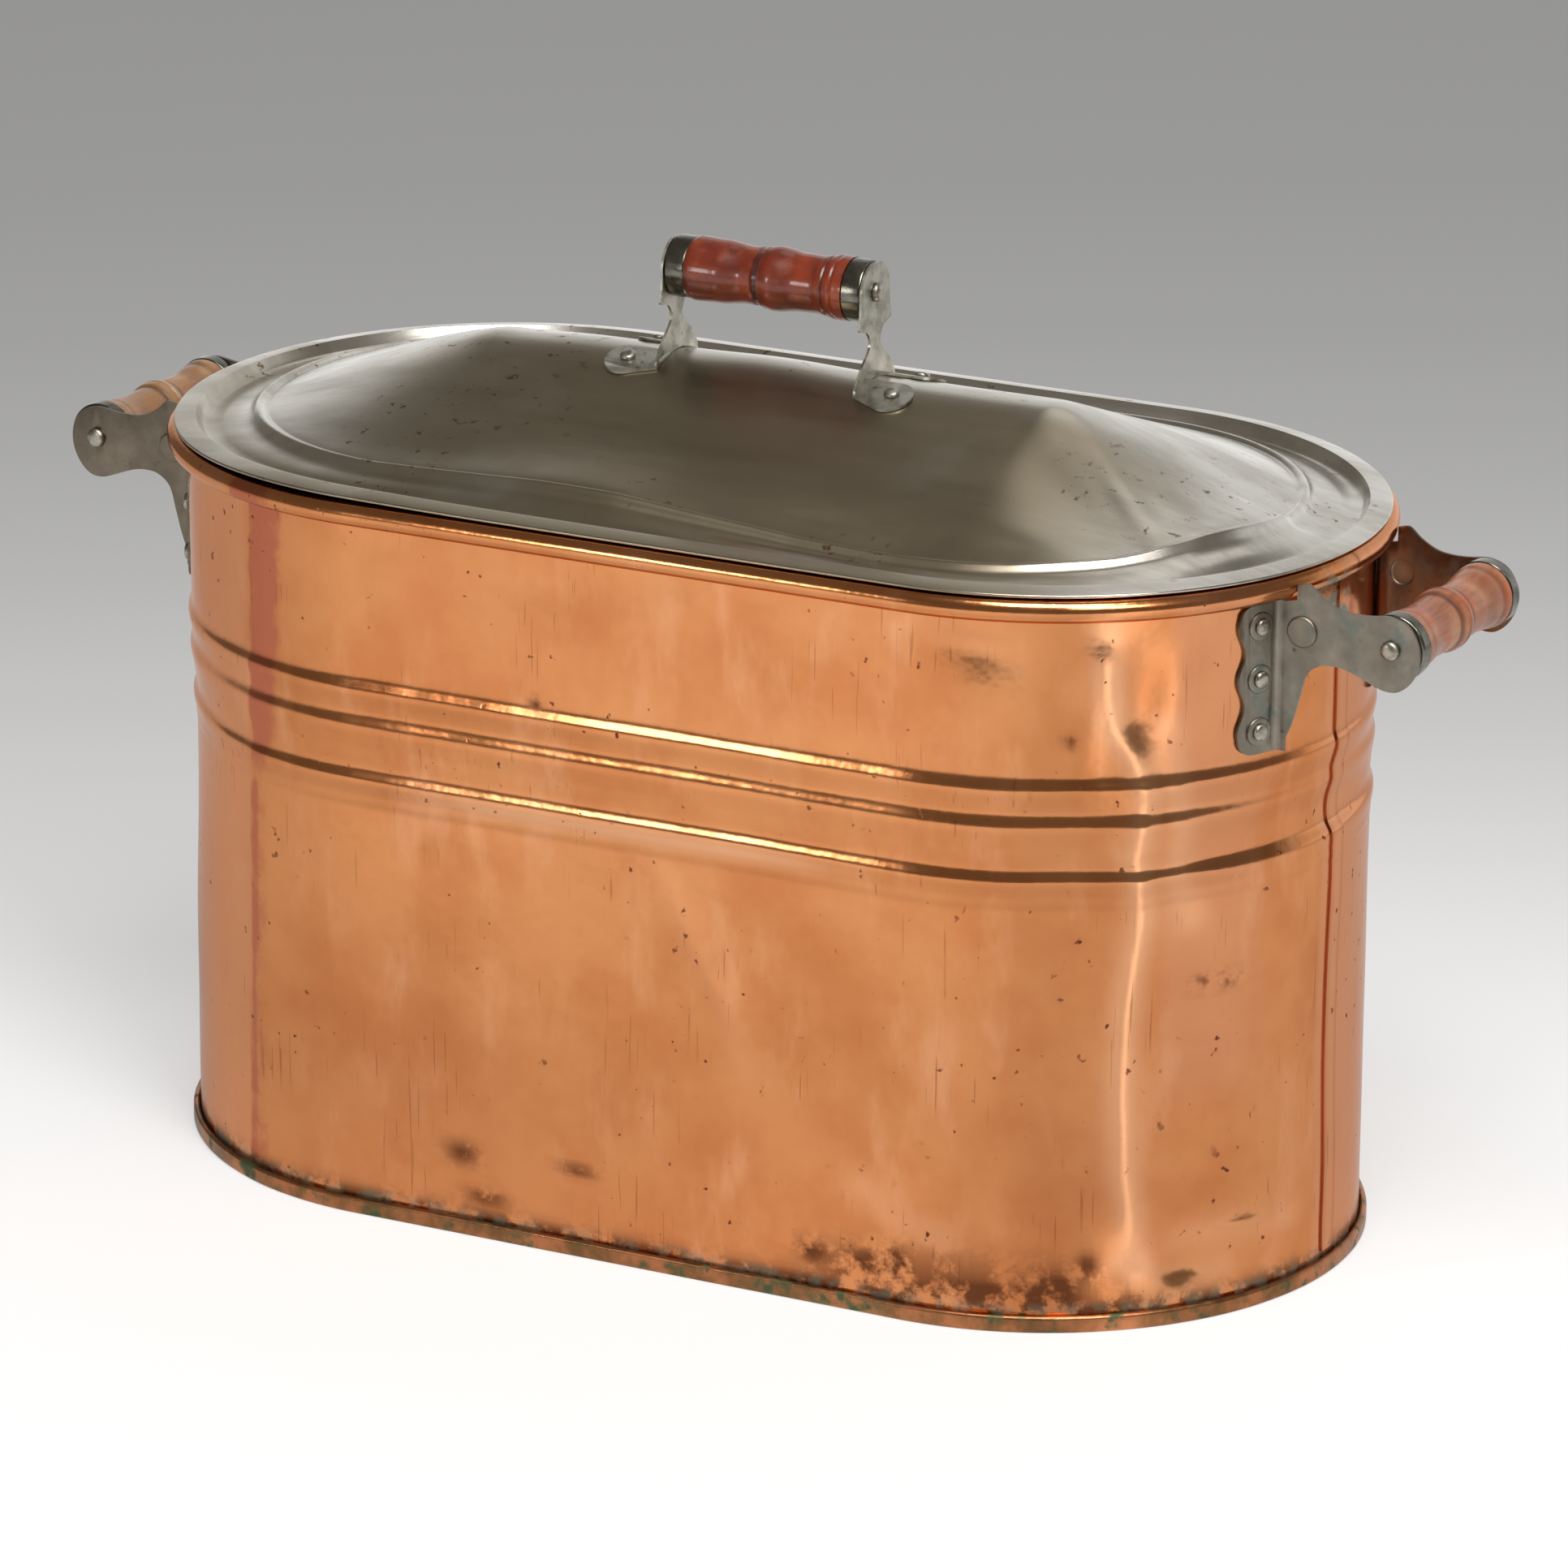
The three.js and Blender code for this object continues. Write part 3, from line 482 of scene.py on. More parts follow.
def out_of_shape(points):
    """How far each point of the wall or the base seam is pushed out of the true plan."""
    along, out, _ = on_plan(points)
    z = points[:, 2]
    push = all_dents(along, z, BODY_DENTS)
    for line, half_width, amount in CREASES:
        away, clear_of_ends = line_distance(along, z, line)
        push += amount * np.exp(-np.sqrt(away**2 + 0.6) / half_width) * clear_of_ends
    push += 0.35 * np.sin(along / 23 + 0.6 * np.sin(z / 41)) * np.sin(z / 57 + along / 90)
    push += 0.12 * np.sin(along / 9.5 + z / 30) * np.sin(z / 19 - along / 47)
    held = step(z, RIM_HEIGHT - 26, RIM_HEIGHT - 13)
    base = 1 - 0.75 * (1 - step(z, 2, 22))
    return push * (1 - held) * base, out


def dent_wall(piece):
    points = corners(piece)
    push, out = out_of_shape(points)
    points[:, :2] += out * push[:, None]
    set_corners(piece, points)


# Body

def wall_offset(z):
    """The wall's outer face at each height: three pressed ledges, each easing back below."""
    heights = [0, 197.8, 200.2, 204.1, 209.3, 211.6, 214.4, 216.4, 218.9, 226.8, 234.3, 236.9, 241,
               243, 246.6, 251.9, 254.3, 257.8, 260, RIM_HEIGHT]
    offsets = [0, 0, 0.35, 0.55, 1.55, 1.55, 0.45, 0, 0.1, 0.75, 1.7, 1.7, 0.5,
               0.25, 0.7, 1.7, 1.7, 0.35, 0, 0]
    return np.interp(z, heights, offsets)


def wall_heights():
    plain = list(np.arange(TURN_Z + 1.2, 195, GRID))
    ridged = list(np.arange(196, 263, 0.8))
    upper = list(np.arange(264, ROLL_Z - 1, GRID))
    return plain + ridged + upper


def eased_wall(z):
    """Soft corners: the offset is averaged over a few tenths of a millimetre each way."""
    return sum(float(wall_offset(z + shift)) for shift in (-0.9, -0.45, 0, 0.45, 0.9)) / 5


def mid_sheet_path():
    """The middle of the sheet, from the flange in the seam to the tip of the roll."""
    foot = arc((HOOK_OFFSET, TURN_Z), SEAM_PITCH, 0, -180, 6)
    wall = [(eased_wall(z) - COPPER / 2, z) for z in wall_heights()]
    roll = arc((ROLL_OFFSET, ROLL_Z), ROLL_RADIUS - COPPER / 2, 180, ROLL_OPENING - 180, 22)
    return [(FLANGE_OFFSET, FOLD_Z), *foot, *wall, *roll]


def lap_degrees(length):
    return math.degrees(length / END_RADIUS)


def half_shell(name, path, start, span):
    """Half of the body: from one side seam, round an end, along a side and round to the other."""
    first = 90 - start
    stages = (
        lambda: spin_about(1, first),
        lambda: run_straight(-1),
        lambda: spin_about(-1, span - first),
    )
    return carried_round(name, path, start, stages)


def wall_sheet(name, lap_name):
    """The back half shell with its lap, which covers the edge of the next shell."""
    lap = lap_degrees(LAP_WIDTH)
    start = HANDLE_TURN - lap / 2 + lap_degrees(GAP)
    finish = HANDLE_TURN + 180 - lap / 2
    shell = half_shell(name, mid_sheet_path(), start, finish - start)
    outwards(shell)
    low, high = SEAM_HEIGHT + 1.5, RIM_HEIGHT - 2 * ROLL_RADIUS - 0.8
    raised = [(eased_wall(z) + LAP_RISE + COPPER / 2, z) for z in wall_heights() if low < z < high]
    stages = (lambda: spin_about(-1, lap),)
    strip = carried_round(lap_name, raised, finish - lap_degrees(LAP_OVER_EDGE), stages)
    outwards(strip)
    return shell, strip


def outwards(piece):
    def outward_share(centres, normals):
        _, out, _ = on_plan(centres)
        plain = (centres[:, 2] > 30) & (centres[:, 2] < 190)
        return float((out * normals[:, :2]).sum(axis=1)[plain].mean())

    face_outwards(piece, outward_share)


def join_lap(shell, strip):
    """The lap steps out from its own shell, so the two sheets are one."""
    pick_up(shell)
    strip.select_set(True)
    bpy.ops.object.join()


def make_body():
    pieces = []
    for name, turn in (("basin_back", 0), ("basin_front", math.pi)):
        shell, strip = wall_sheet(name, name + "_lap")
        for sheet in (shell, strip):
            carried(sheet, Matrix.Rotation(turn, 4, "Z"))
            dent_wall(sheet)
            modify(sheet, "SOLIDIFY", thickness=COPPER * MM, offset=0, use_even_offset=True)
        join_lap(shell, strip)
        smooth(shell, 50)
        pieces.append(shell)
    return pieces


def make_pan():
    low = COPPER / 2
    corner = 0.8
    path = [
        (HOOK_OFFSET, TURN_Z + GAP),
        *arc((FLANGE_OFFSET, FOLD_Z), SEAM_PITCH, 180, 0, 8),
        *arc((PAN_WALL_OFFSET - corner, low + corner), corner, 0, -90, 4),
        (PAN_WALL_OFFSET - 5.5, low),
        (PAN_WALL_OFFSET - 9.5, low + 3),
        (-40, low + 3),
        (-90, low + 3),
        (-END_RADIUS, low + 3),
    ]
    pan = all_round("base_pan", path)
    face_outwards(pan, lambda centres, normals: -normals[centres[:, 2] < 0.6][:, 2].mean())
    dent_wall(pan)
    modify(pan, "SOLIDIFY", thickness=COPPER * MM, offset=0, use_even_offset=True)
    smooth(pan, 45)
    return pan


# Lid

# Each dent: x, y, half length, half width, how far up, lean in degrees
LID_DENTS = [
    (-45, -100, 50, 22, 1.6, 0),
    (112, -108, 60, 22, -2.4, 0),
    (238, -42, 28, 28, 2.6, 40),
    (176, -60, 30, 14, -2.0, -40),
    (198, -46, 34, 7, 1.5, -42),
    (160, -92, 26, 12, 1.0, 0),
    (-20, -70, 90, 22, -0.8, 0),
    (60, -40, 50, 14, 0.7, 0),
    (-190, -40, 26, 34, -1.0, 0),
    (-140, 0, 34, 34, -2.7, 0),
    (0, 0, 34, 26, 1.5, 0),
    (60, 70, 80, 30, -1.4, 0),
    (-120, 80, 50, 26, 0.9, 0),
]

# How far the bead has been knocked up or down along the front, by x
BEAD_KNOCKS = [
    (-260, 0), (-150, 0), (-60, 2.6), (-20, 2.6), (20, 0), (68, -2.8), (115, -3.6), (169, -2.4),
    (212, 0), (238, 2.8), (275, 0),
]


def lid_path():
    fold = (LID_SHEET + HEM_GAP) / 2
    edge = LID_OVERHANG - fold - LID_SHEET / 2
    crest_z = ROOF_TOP_Z - ROOF_SLOPE * RIDGE_ROUND / 2
    hem = [(edge - HEM_WIDTH, LID_EDGE_Z - 2 * fold)]
    hem += arc((edge, LID_EDGE_Z - fold), fold, -90, 90, 6)
    shape = [
        (KINK[0] + 1.5, KINK[1] - 0.35),
        (KINK[0] - 0.6, KINK[1] - 0.25),
        (KINK[0] - 3.2, CHANNEL_Z + 1.6),
        (KINK[0] - 5, CHANNEL_Z + 0.1),
        (KINK[0] - 7.5, CHANNEL_Z),
        (KINK[0] - 10, CHANNEL_Z + 0.3),
        (-18, CHANNEL_Z + 2.2),
        (-BEAD_INSET + 6.5, BEAD_FOOT[1] - 3.4),
        (-BEAD_INSET + BEAD_WIDTH / 2 + 0.4, BEAD_FOOT[1] - 1.9),
        (-BEAD_INSET + 2.1, BEAD_FOOT[1] - 0.2),
        (-BEAD_INSET + 1.1, BEAD_FOOT[1] + 1.1),
        (-BEAD_INSET, BEAD_FOOT[1] + 1.75),
        (-BEAD_INSET - 1.1, BEAD_FOOT[1] + 1.6),
        (-BEAD_INSET - 2.2, BEAD_FOOT[1] + 0.7),
        (BEAD_FOOT[0] - 0.2, BEAD_FOOT[1] + 0.1),
        (BEAD_FOOT[0] - 1.6, BEAD_FOOT[1] + 0.55),
    ]
    roof = []
    for distance in [*np.arange(110, RIDGE_ROUND, -GRID), RIDGE_ROUND]:
        roof.append((distance - END_RADIUS, ROOF_TOP_Z - ROOF_SLOPE * distance))
    for share in (0.75, 0.5, 0.25, 0):
        distance = RIDGE_ROUND * share
        drop = ROOF_SLOPE * distance**2 / (2 * RIDGE_ROUND)
        roof.append((distance - END_RADIUS, crest_z - drop))
    return hem + split_long(shape) + roof


def split_long(points):
    """No stretch of the path is left longer than the grid."""
    fine = [points[0]]
    for before, after in zip(points, points[1:]):
        pieces = max(1, math.ceil(math.dist(before, after) / GRID))
        for i in range(1, pieces + 1):
            share = i / pieces
            fine.append(tuple(a + (b - a) * share for a, b in zip(before, after)))
    return fine


def dent_lid(piece):
    points = corners(piece)
    along, _, distance = on_plan(points)
    x, y = points[:, 0], points[:, 1]
    lift = all_dents(x, y, LID_DENTS)
    lift += 0.25 * np.sin(x / 31 + y / 70) * np.sin(y / 24 - x / 110)
    near_feet = bump(np.abs(x) - 67, 24) * bump(y, 34)
    clear = 1 - step(distance, 126, 138)
    points[:, 2] += lift * clear * (1 - near_feet)
    knocks = np.interp(x, *zip(*BEAD_KNOCKS))
    points[:, 2] += knocks * bump(distance - 115, 16) * (y < 0)
    front = 1 - step(np.abs(along), 240, 330)
    points[:, 2] += (0.4 * front + 1.3 * bump(along + 170, 60)) * step(distance, 95, 128)
    set_corners(piece, points)


def make_lid():
    lid = all_round("lid_sheet", lid_path())
    face_outwards(lid, lambda centres, normals: normals[centres[:, 2] > 360][:, 2].mean())
    dent_lid(lid)
    modify(lid, "SOLIDIFY", thickness=LID_SHEET * MM, offset=0, use_even_offset=True)
    smooth(lid, 50)
    return lid


# Side handles

def root_angle():
    return math.degrees(math.asin(EAR_HALF_SPAN / END_RADIUS))


def rivet_drops():
    middle = TAB_TOP_DROP + RIVET_PITCH * 1.5 - TAB_SCALLOP / 2
    return [middle - RIVET_PITCH, middle, middle + RIVET_PITCH]


def wall_frame(angle, z, off_wall=0.0):
    out = radial(angle)
    origin = Vector((HALF_STRAIGHT, 0, z)) + out * (END_RADIUS + off_wall)
    return frame_of(origin, UP.cross(out), UP, out)


def curve_points(start, control, end, pieces):
    """A quadratic curve's points, without the first."""
    points = []
    for i in range(1, pieces + 1):
        t = i / pieces
        points.append(tuple(
            (1 - t) ** 2 * a + 2 * t * (1 - t) * b + t * t * c
            for a, b, c in zip(start, control, end)
        ))
    return points


def eased_line(points, pieces):
    """A spline through the points, drawn in as many pieces between each two."""
    padded = [points[0], *points, points[-1]]
    line = [points[0]]
    for before, start, end, after in zip(padded, padded[1:], padded[2:], padded[3:]):
        for i in range(1, pieces + 1):
            t = i / pieces
            line.append(tuple(
                0.5 * (2 * b + (c - a) * t + (2 * a - 5 * b + 4 * c - d) * t**2
                       + (3 * b - a - 3 * c + d) * t**3)
                for a, b, c, d in zip(before, start, end, after)
            ))
    return line


def arm_outline():
    rod = (END_RADIUS + ROD_REACH, RIM_HEIGHT - ROD_DROP)
    edge = [(rod[0] + out, rod[1] + up) for out, up in ARM_EDGE]
    inner = math.sqrt(END_RADIUS**2 - EAR_HALF_SPAN**2) - 6
    return [(inner, edge[0][1]), *eased_line(edge, 4), (inner, edge[-1][1])]


def tab_outline():
    drops = rivet_drops()
    top = RIM_HEIGHT - TAB_TOP_DROP
    bottom = RIM_HEIGHT - drops[2] - RIVET_PITCH / 2 + TAB_SCALLOP / 2
    corner = (TAB_WIDTH * 0.55, TAB_WIDTH * 0.9)
    points = [(-2, bottom), (corner[0], bottom)]
    points += curve_points(points[-1], (corner[1], bottom), (TAB_WIDTH - 0.5, bottom + 6), 6)
    for drop in np.linspace(drops[2] + 3, drops[0] - 3, 45):
        wave = math.cos(2 * math.pi * (drop - drops[1]) / RIVET_PITCH)
        points.append((TAB_WIDTH - TAB_SCALLOP / 2 * (1 - wave), RIM_HEIGHT - drop))
    points += curve_points((TAB_WIDTH - 0.5, top - 6), (corner[1], top), (corner[0], top), 6)
    return [*points, (-2, top)]


def ear_ribbon(name, side):
    """The ear's one sheet before it is trimmed: the arm, its bend, and the tab along the wall."""
    radius = END_RADIUS + GAP + EAR_SHEET / 2
    corner = math.sqrt(radius**2 - EAR_HALF_SPAN**2)
    bend = 3.2
    first = math.asin(EAR_HALF_SPAN / radius) + bend / radius
    tip = END_RADIUS + ROD_REACH + 20
    arm = [(out, EAR_HALF_SPAN) for out in np.linspace(tip, corner + bend, 12)]
    tab = [
        (radius * math.cos(turn), radius * math.sin(turn))
        for turn in np.linspace(first, first + (TAB_WIDTH + 2) / radius, 12)
    ]
    line = arm + curve_points(arm[-1], (corner, EAR_HALF_SPAN), tab[0], 8) + tab[1:]
    low = RIM_HEIGHT - 90
    foot = [handle_point(out, side * across, low) for out, across in line]
    piece = line_of(name, foot, closed=False)
    edit(piece, select_everything, lambda: bpy.ops.mesh.extrude_edges_move(
        TRANSFORM_OT_translate={"value": (0, 0, 95 * MM)}
    ))
    close_up(piece)
    modify(piece, "SOLIDIFY", thickness=EAR_SHEET * MM, offset=0, use_even_offset=True)
    return piece


def ear_blank(side):
    """The shapes cut from the ribbon: the arm clear of the rolled rim, and the scalloped tab."""
    blank = outline_plate("blank", arm_outline(), 12)
    carried(blank, frame_of(handle_point(0, side * (EAR_HALF_SPAN - 3.5), 0), OUT, UP, -ACROSS))
    ledge = RIM_HEIGHT - 2 * ROLL_RADIUS - 2
    rim = END_RADIUS + ROLL_OFFSET + ROLL_RADIUS + GAP
    profile = [(90, ledge), (END_RADIUS + 2, ledge), (rim, ledge + 2), (rim, 420), (90, 420)]
    roll_space = turned("roll_space", profile, 240)
    cut(blank, carried(roll_space, Matrix.Translation((HALF_STRAIGHT, 0, 0))))
    outline = [(side * (away - TAB_WIDTH / 2), z) for away, z in tab_outline()]
    middle = HANDLE_TURN + side * (root_angle() + math.degrees(TAB_WIDTH / END_RADIUS) / 2)
    cut(blank, carried(outline_plate("tab", outline, 12), wall_frame(middle, 0)), "UNION")
    return blank


def drill(piece, radius, low, high, place):
    """Cuts a round hole along the Z of its place."""
    bit = turned("drill", [(0, low), (radius, low), (radius, high), (0, high)], 24)
    cut(piece, carried(bit, place))


def disc(radius, height, edge):
    """A round-edged button, for what is pressed up from a plate."""
    profile = [(0, -0.4), (radius, -0.4), (radius, height - edge)]
    profile += arc((radius - edge, height - edge), edge, 0, 90, 4)[1:] + [(0, height)]
    return turned("disc", profile, 32)


def make_ear(name, end, side):
    ear = ear_ribbon(name, side)
    cut(ear, ear_blank(side), "INTERSECT")
    axis = ACROSS * side
    out, z = END_RADIUS + BOSS_REACH, RIM_HEIGHT - BOSS_DROP
    face = handle_point(out, side * (EAR_HALF_SPAN + EAR_SHEET / 2), z)
    boss = frame_of(face, OUT, axis.cross(OUT), axis)
    cut(ear, carried(disc(BOSS_RADIUS, 1.5, 1.1), boss), "UNION")
    boss.translation = handle_point(out, side * (EAR_HALF_SPAN - EAR_SHEET / 2), z)
    cut(ear, carried(disc(BOSS_RADIUS - 1.2, 1.3, 1.1), boss))
    for drop in rivet_drops():
        place = wall_frame(rivet_angle(side), RIM_HEIGHT - drop, GAP + EAR_SHEET)
        cut(ear, carried(disc(EMBOSS_RADIUS, EMBOSS_HEIGHT, 0.7), place), "UNION")
    drill(ear, ROD_HOLE, -80, 80, rod_frame())
    for drop in rivet_drops():
        drill(ear, RIVET_HOLE, -6, 9, wall_frame(rivet_angle(side), RIM_HEIGHT - drop))
    soften_edges(ear, 0.3)
    smooth(ear, 40)
    centre = handle_point(out, side * EAR_HALF_SPAN, z)
    paint(ear, "dimple", bump(np.linalg.norm(corners(ear) - np.array(centre[:]), axis=1), 6.5))
    return at_end(ear, end)


def rivet_angle(side):
    return HANDLE_TURN + side * (root_angle() + math.degrees(RIVET_INSET / END_RADIUS))


def rod_frame():
    origin = handle_point(END_RADIUS + ROD_REACH, 0, RIM_HEIGHT - ROD_DROP)
    return frame_of(origin, OUT, -UP, ACROSS)


def make_rivet(name, head, stack, lift=0):
    """A shank through the stack of sheets, its head hammered to a dome, its burr flat behind."""
    head_radius, head_height = head
    shank = RIVET_SHANK / 2
    back = -stack - GAP
    flat = GAP + lift
    profile = [
        (0, back - 1.2), (2.6, back - 1.2), (3.4, back - 0.7), (3.5, back), (shank, back),
        (shank, flat), (head_radius, flat), (head_radius, flat + head_height * 0.25),
    ]
    profile += [
        (head_radius * math.cos(a) ** 0.7, flat + head_height * (0.25 + 0.75 * math.sin(a)))
        for a in np.radians(np.linspace(15, 78, 6))
    ]
    profile.append((0, flat + head_height))
    rivet = turned(name, profile, 28)
    smooth(rivet, 50)
    return rivet


def make_rod(name, half_span, sheet):
    shank = ROD_DIAMETER / 2
    face = half_span + sheet / 2 + GAP
    upper = [(shank, face), (4.3, face), (4.5, face + 0.5), (4.4, face + 1.3)]
    upper += [
        (4.4 * math.cos(a), face + 1.3 + 1.7 * math.sin(a)) for a in np.radians((20, 40, 60, 80))
    ]
    upper.append((0, face + 3))
    lower = [(radius, -z) for radius, z in reversed(upper)]
    rod = turned(name, lower + upper, 32)
    smooth(rod, 50)
    return rod


def make_grip(name, half_length, cup, outline):
    """outline is (share of the way out from the middle, radius), and may differ end from end."""
    bore = ROD_DIAMETER / 2 + GAP
    spigot = cup["diameter"] / 2 - CUP_SHEET - GAP
    shoulder = half_length - cup["length"] - GAP
    end = half_length - CUP_SHEET - GAP
    shares = [share for share, _ in outline]
    radii = [radius for _, radius in outline]
    fine = np.unique(np.concatenate([np.linspace(-1, 1, 91), shares]))
    profile = [(bore, -end), (spigot, -end), (spigot, -shoulder)]
    for share in fine:
        profile.append((float(np.interp(share, shares, radii)), shoulder * share))
    profile += [(spigot, shoulder), (spigot, end), (bore, end)]
    grip = turned(name, profile, 64)
    smooth(grip, 30)
    return grip


def rounded(points):
    """A turned outline eased between its points, as (share, radius)."""
    shares = [share for share, _ in points]
    fine = []
    for (a, ra), (b, rb) in zip(points, points[1:]):
        pieces = max(1, round((b - a) / 0.022))
        for i in range(pieces):
            t = i / pieces
            fine.append((a + (b - a) * t, ra + (rb - ra) * (t * t * (3 - 2 * t))))
    fine.append((shares[-1], points[-1][1]))
    return fine


SIDE_GRIP = rounded([
    (-1, 15), (-0.95, 15), (-0.83, 13.9), (-0.5, 12.6), (-0.15, 12.9), (-0.07, 14.3),
    (-0.035, 14.5), (-0.02, 14.1), (0, 14.3), (0.02, 14.1), (0.035, 14.5), (0.07, 14.3),
    (0.15, 12.9), (0.5, 12.6), (0.83, 13.9), (0.95, 15), (1, 15),
])
LID_GRIP = rounded([
    (-1, 14.4), (-0.95, 14.9), (-0.63, 14.6), (-0.3, 13.2), (-0.18, 13.4), (-0.15, 12), (-0.1, 12),
    (-0.07, 14.2), (0.06, 14.9), (0.38, 13.4), (0.6, 13.2), (0.72, 13.8), (0.74, 13.4),
    (0.76, 14.2), (0.83, 14.8), (0.86, 14.4), (0.89, 14.8), (1, 14.6),
])


def make_cup(name, half_length, diameter, length, end):
    bore = ROD_DIAMETER / 2 + GAP
    outside = diameter / 2
    inside = outside - CUP_SHEET
    profile = [(bore, half_length), (outside - 1.2, half_length)]
    profile += arc((outside - 1.2, half_length - 1.2), 1.2, 90, 0, 5)[1:]
    profile += [
        (outside, half_length - length + 0.4), (outside - 0.3, half_length - length),
        (inside, half_length - length), (inside, half_length - CUP_SHEET),
        (bore, half_length - CUP_SHEET),
    ]
    cup = turned(name, [(radius, end * z) for radius, z in profile], 64)
    smooth(cup, 35)
    return cup


# Lid handle

def roof_line(lift):
    """The roof's section across the lid, raised square to it."""
    slope = math.atan(ROOF_SLOPE)
    crest = ROOF_TOP_Z - ROOF_SLOPE * RIDGE_ROUND / 2
    half = []
    for distance in [*np.linspace(40, RIDGE_ROUND, 9), 10.5, 7, 3.5]:
        if distance >= RIDGE_ROUND:
            z, lean = ROOF_TOP_Z - ROOF_SLOPE * distance, slope
        else:
            z = crest - ROOF_SLOPE * distance**2 / (2 * RIDGE_ROUND)
            lean = math.atan(ROOF_SLOPE * distance / RIDGE_ROUND)
        half.append((distance + lift * math.sin(lean), z + lift * math.cos(lean)))
    front = [(-y, z) for y, z in half]
    return front + [(0, crest + lift)] + half[::-1]


def along_length(piece, x):
    """Carries a plate drawn as (y, z) to a place along the lid."""
    return carried(piece, frame_of((x, 0, 0), (0, 1, 0), UP, (1, 0, 0)))


def upright_outline():
    half = [(20.5, RIM_HEIGHT)] + [(y, LID_ROD_Z + up) for y, up in eased_line(UPRIGHT_EDGE, 4)]
    half += [
        (BRACKET_HEAD[0] * math.cos(a), LID_ROD_Z + BRACKET_HEAD[1] * math.sin(a))
        for a in np.radians(np.linspace(0, 75, 12))
    ]
    return half + [(-y, height) for y, height in reversed(half)]


def foot_outline(side):
    """One lobe of the foot, in plan: they lie on the two slopes, with a slot over the crest."""
    inner = BRACKET_HALF_SPAN - BRACKET_SHEET / 2
    centre = (BRACKET_HALF_SPAN + LID_RIVET_REACH, LOBE_SPREAD)
    lobe = [(inner, LOBE_SLOT), *arc(centre, LOBE_RADIUS, -90, 113, 26), (inner, 20.5)]
    return [(x, side * y) for x, y in lobe]


def make_bracket(name, end):
    lift = LID_SHEET / 2 + GAP
    bracket = along_length(outline_plate(name, upright_outline(), BRACKET_SHEET), BRACKET_HALF_SPAN)
    below = outline_plate("below", roof_line(lift) + [(40, 300), (-40, 300)], 200)
    cut(bracket, along_length(below, 0))
    for side in (-1, 1):
        layer = roof_line(lift + BRACKET_SHEET) + roof_line(lift)[::-1]
        saddle = outline_plate("saddle", layer, 200)
        blank = outline_plate("blank", foot_outline(side), 160)
        cut(along_length(saddle, 0), carried(blank, Matrix.Translation((0, 0, 410))), "INTERSECT")
        cut(bracket, saddle, "UNION")
    drill(bracket, ROD_HOLE, -90, 90, lid_rod_frame())
    for side in (-1, 1):
        drill(bracket, RIVET_HOLE, -4, 5, lid_rivet_frame(1, side))
    soften_edges(bracket, 0.28)
    smooth(bracket, 40)
    return at_end(bracket, end)


def lid_rod_frame():
    return frame_of((0, 0, LID_ROD_Z), (0, 1, 0), UP, (1, 0, 0))


def lid_rivet_frame(end, side):
    x = end * (BRACKET_HALF_SPAN + LID_RIVET_REACH)
    spread = LID_RIVET_SPREAD
    origin = (x, side * spread, ROOF_TOP_Z - ROOF_SLOPE * spread)
    out = Vector((0, side * ROOF_SLOPE, 1)).normalized()
    return frame_of(origin, (1, 0, 0), out.cross(Vector((1, 0, 0))), out)


# Materials

def linear(code):
    """An sRGB hex colour as linear light."""
    values = []
    for i in (0, 2, 4):
        part = int(code[i:i + 2], 16) / 255
        values.append(part / 12.92 if part <= 0.04045 else ((part + 0.055) / 1.055) ** 2.4)
    return (*values, 1.0)


def node(tree, kind, settings=None, **inputs):
    """Adds a node: settings are its own properties, inputs are values or other nodes' outputs."""
    made = tree.nodes.new(kind)
    for name, value in (settings or {}).items():
        setattr(made, name, value)
    for name, value in inputs.items():
        key = int(name[1:]) if name[0] == "i" and name[1:].isdigit() else name.replace("_", " ")
        socket = made.inputs[key]
        if isinstance(value, bpy.types.NodeSocket):
            tree.links.new(value, socket)
        else:
            socket.default_value = value
    return made


def worked_out(tree, operation, a, b=0.0):
    return node(tree, "ShaderNodeMath", {"operation": operation}, i0=a, i1=b).outputs[0]


def mixed(tree, amount, under, over, mode="MIX"):
    settings = {"data_type": "RGBA", "blend_type": mode}
    return node(tree, "ShaderNodeMix", settings, i0=amount, i6=under, i7=over).outputs[2]


